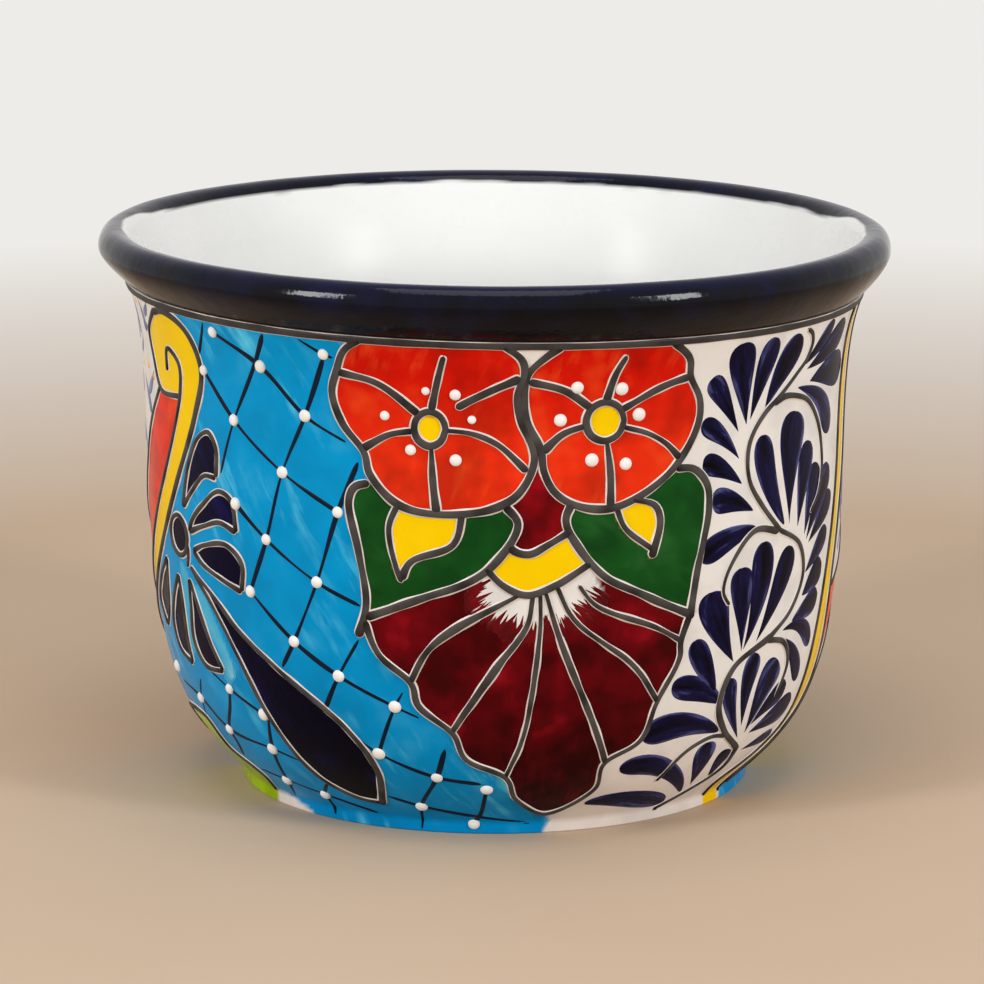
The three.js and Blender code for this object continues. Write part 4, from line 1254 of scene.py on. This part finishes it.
mouthDots = [
    [-74.9, 86.3], [-71.8, 84.8], [-76.5, 98.6], [-80, 86], [-85.5, 92.5], [-90, 94.5], [-88, 74], [-95, 83.5],
    [-92, 70], [-98, 73.5], [-95, 60.5],
]
dabFullness, dabBend = 0.9, 0.3
dotRadius, dotRise = 1.1, 0.2


def mouthStrokes(turn):
    return joined([
        brushStroke(
            (a + turn, b), ((a + c) / 2 + turn + dabBend, (b + d) / 2), (c + turn, d), width, seed, dabFullness
        )
        for seed, (a, b, c, d, width) in enumerate(mouthDabs)
    ])


def yellowDots(turn):
    same = np.ones(len(mouthDots))
    return domes(turnedBy(turn, mouthDots), same * dotRadius, same * dotRise)


for half, turn in halves.items():
    makePiece(f"{half}_mouth_dabs", mouthStrokes(turn), ["haze"], "painted_glaze")
    makePiece(f"{half}_mouth_dots", yellowDots(turn), ["yellow"], "painted_glaze")
print("painted strokes ready")

# The photograph's view, and the studio in metres.

viewShape = {"distance": 1575.2, "rise": 0.20946, "lens": 173.2, "aim": (-0.885, 0, 93.77)}


def makeCamera():
    rise, far = viewShape["rise"], viewShape["distance"]
    data = bpy.data.cameras.new("view")
    data.lens = viewShape["lens"]
    data.sensor_width = 36
    data.clip_end = 20
    camera = placed("view", data)
    x, y, z = viewShape["aim"]
    camera.location = (x * mm, (y - far * math.cos(rise)) * mm, (z + far * math.sin(rise)) * mm)
    camera.rotation_euler = (math.pi / 2 - rise, 0, 0)
    bpy.context.scene.camera = camera


stageShape = {
    "halfWidth": 3,
    "front": -3,
    "bendStart": 1.6,
    "bendRadius": 0.6,
    "top": 3,
    "steps": 12,
    "paper": ((197, 174, 150), (192, 168, 143)),
    "backdrop": (238, 236, 232),
    "fade": (0.42, 1.15),  # how far from the pot the floor turns into the backdrop
    "worldLight": 0.47,
    "lampAim": (0, 0, 0.1),
}
lamps = {
    "left_window": {"place": (-1.43, -1.12, 0.8), "size": (0.3, 0.7), "power": 17.2},
    "right_window": {"place": (1.43, -1.12, 0.75), "size": (0.3, 0.7), "power": 17.2},
    "sky_panel": {"place": (0, -0.6, 2.2), "size": (1.4, 1.4), "power": 17},
}


def makeLamp(name, lamp):
    data = bpy.data.lights.new(name, "AREA")
    data.shape = "RECTANGLE"
    data.size, data.size_y = lamp["size"]
    data.energy = lamp["power"]
    made = placed(name, data)
    made.location = lamp["place"]
    x, y, z = np.array(stageShape["lampAim"]) - lamp["place"]
    made.rotation_euler = (math.atan2(math.hypot(x, y), -z), 0, math.atan2(y, x) - math.pi / 2)


def showBackdrop(tree, kind, part, surface, output):
    # The backdrop's colour in place of a part of the surface, for the rays that the camera, a reflection or a
    # clear material sends out. Those that carry light meet the surface alone.
    rays = node(tree, "LightPath", {}).outputs
    looking = plus(tree, plus(tree, rays["Is Camera Ray"], rays["Is Glossy Ray"]), rays["Is Transmission Ray"])
    seen = node(tree, kind, {"Color": linear(stageShape["backdrop"]), "Strength": 1.0}).outputs[0]
    mixed = node(tree, "MixShader", {0: times(tree, looking, part), 1: surface, 2: seen})
    tree.links.new(mixed.outputs[0], output.inputs["Surface"])


def makeStage(shape):
    # A floor that bends up into a backdrop: level, then a quarter circle, then upright.
    start, radius, steps = shape["bendStart"], shape["bendRadius"], shape["steps"]
    bend = np.linspace(0.1, math.pi / 2, steps)
    level = np.linspace(shape["front"], start, steps)
    y = np.concatenate([level, start + radius * np.sin(bend), [start + radius]])
    z = np.concatenate([np.zeros(steps), radius * (1 - np.cos(bend)), [shape["top"]]])
    x = np.linspace(-shape["halfWidth"], shape["halfWidth"], 9)
    verts = np.stack([np.repeat(x, len(y)), np.tile(y, len(x)), np.tile(z, len(x))], axis=1)
    quads = gridQuads(len(x), len(y), columnsClose=False)[:, turnedRound]
    mesh = bpy.data.meshes.new("studio_floor")
    mesh.from_pydata(verts.tolist(), [], quads.tolist())
    mesh.polygons.foreach_set("use_smooth", np.ones(len(quads), bool))
    material, tree, shader = newFinish("studio_paper", roughness=0.9)
    cloud = share(tree, grainy(tree, 3.0), 0.3, 0.7)
    first, second = shape["paper"]
    setInputs(tree, shader, {"Base Color": blend(tree, cloud, linear(first), linear(second))})
    away = node(tree, "VectorMath", {0: places(tree)}, operation="LENGTH").outputs["Value"]
    far = share(tree, away, *shape["fade"])
    showBackdrop(tree, "Emission", far, shader.outputs[0], tree.nodes["Material Output"])
    mesh.materials.append(material)
    placed("studio_floor", mesh)


def makeWorld(shape):
    # Plain light from all round. The camera and reflections see the backdrop's colour where the floor ends.
    world = bpy.data.worlds.new("studio")
    world.use_nodes = True
    tree = world.node_tree
    light = tree.nodes["Background"]
    setInputs(tree, light, {"Color": (1, 1, 1, 1), "Strength": shape["worldLight"]})
    showBackdrop(tree, "Background", 1.0, light.outputs[0], tree.nodes["World Output"])
    bpy.context.scene.world = world


makeCamera()
makeStage(stageShape)
makeWorld(stageShape)
for name, lamp in lamps.items():
    makeLamp(name, lamp)
bpy.context.scene.view_settings.view_transform = "Standard"
print("stage ready")
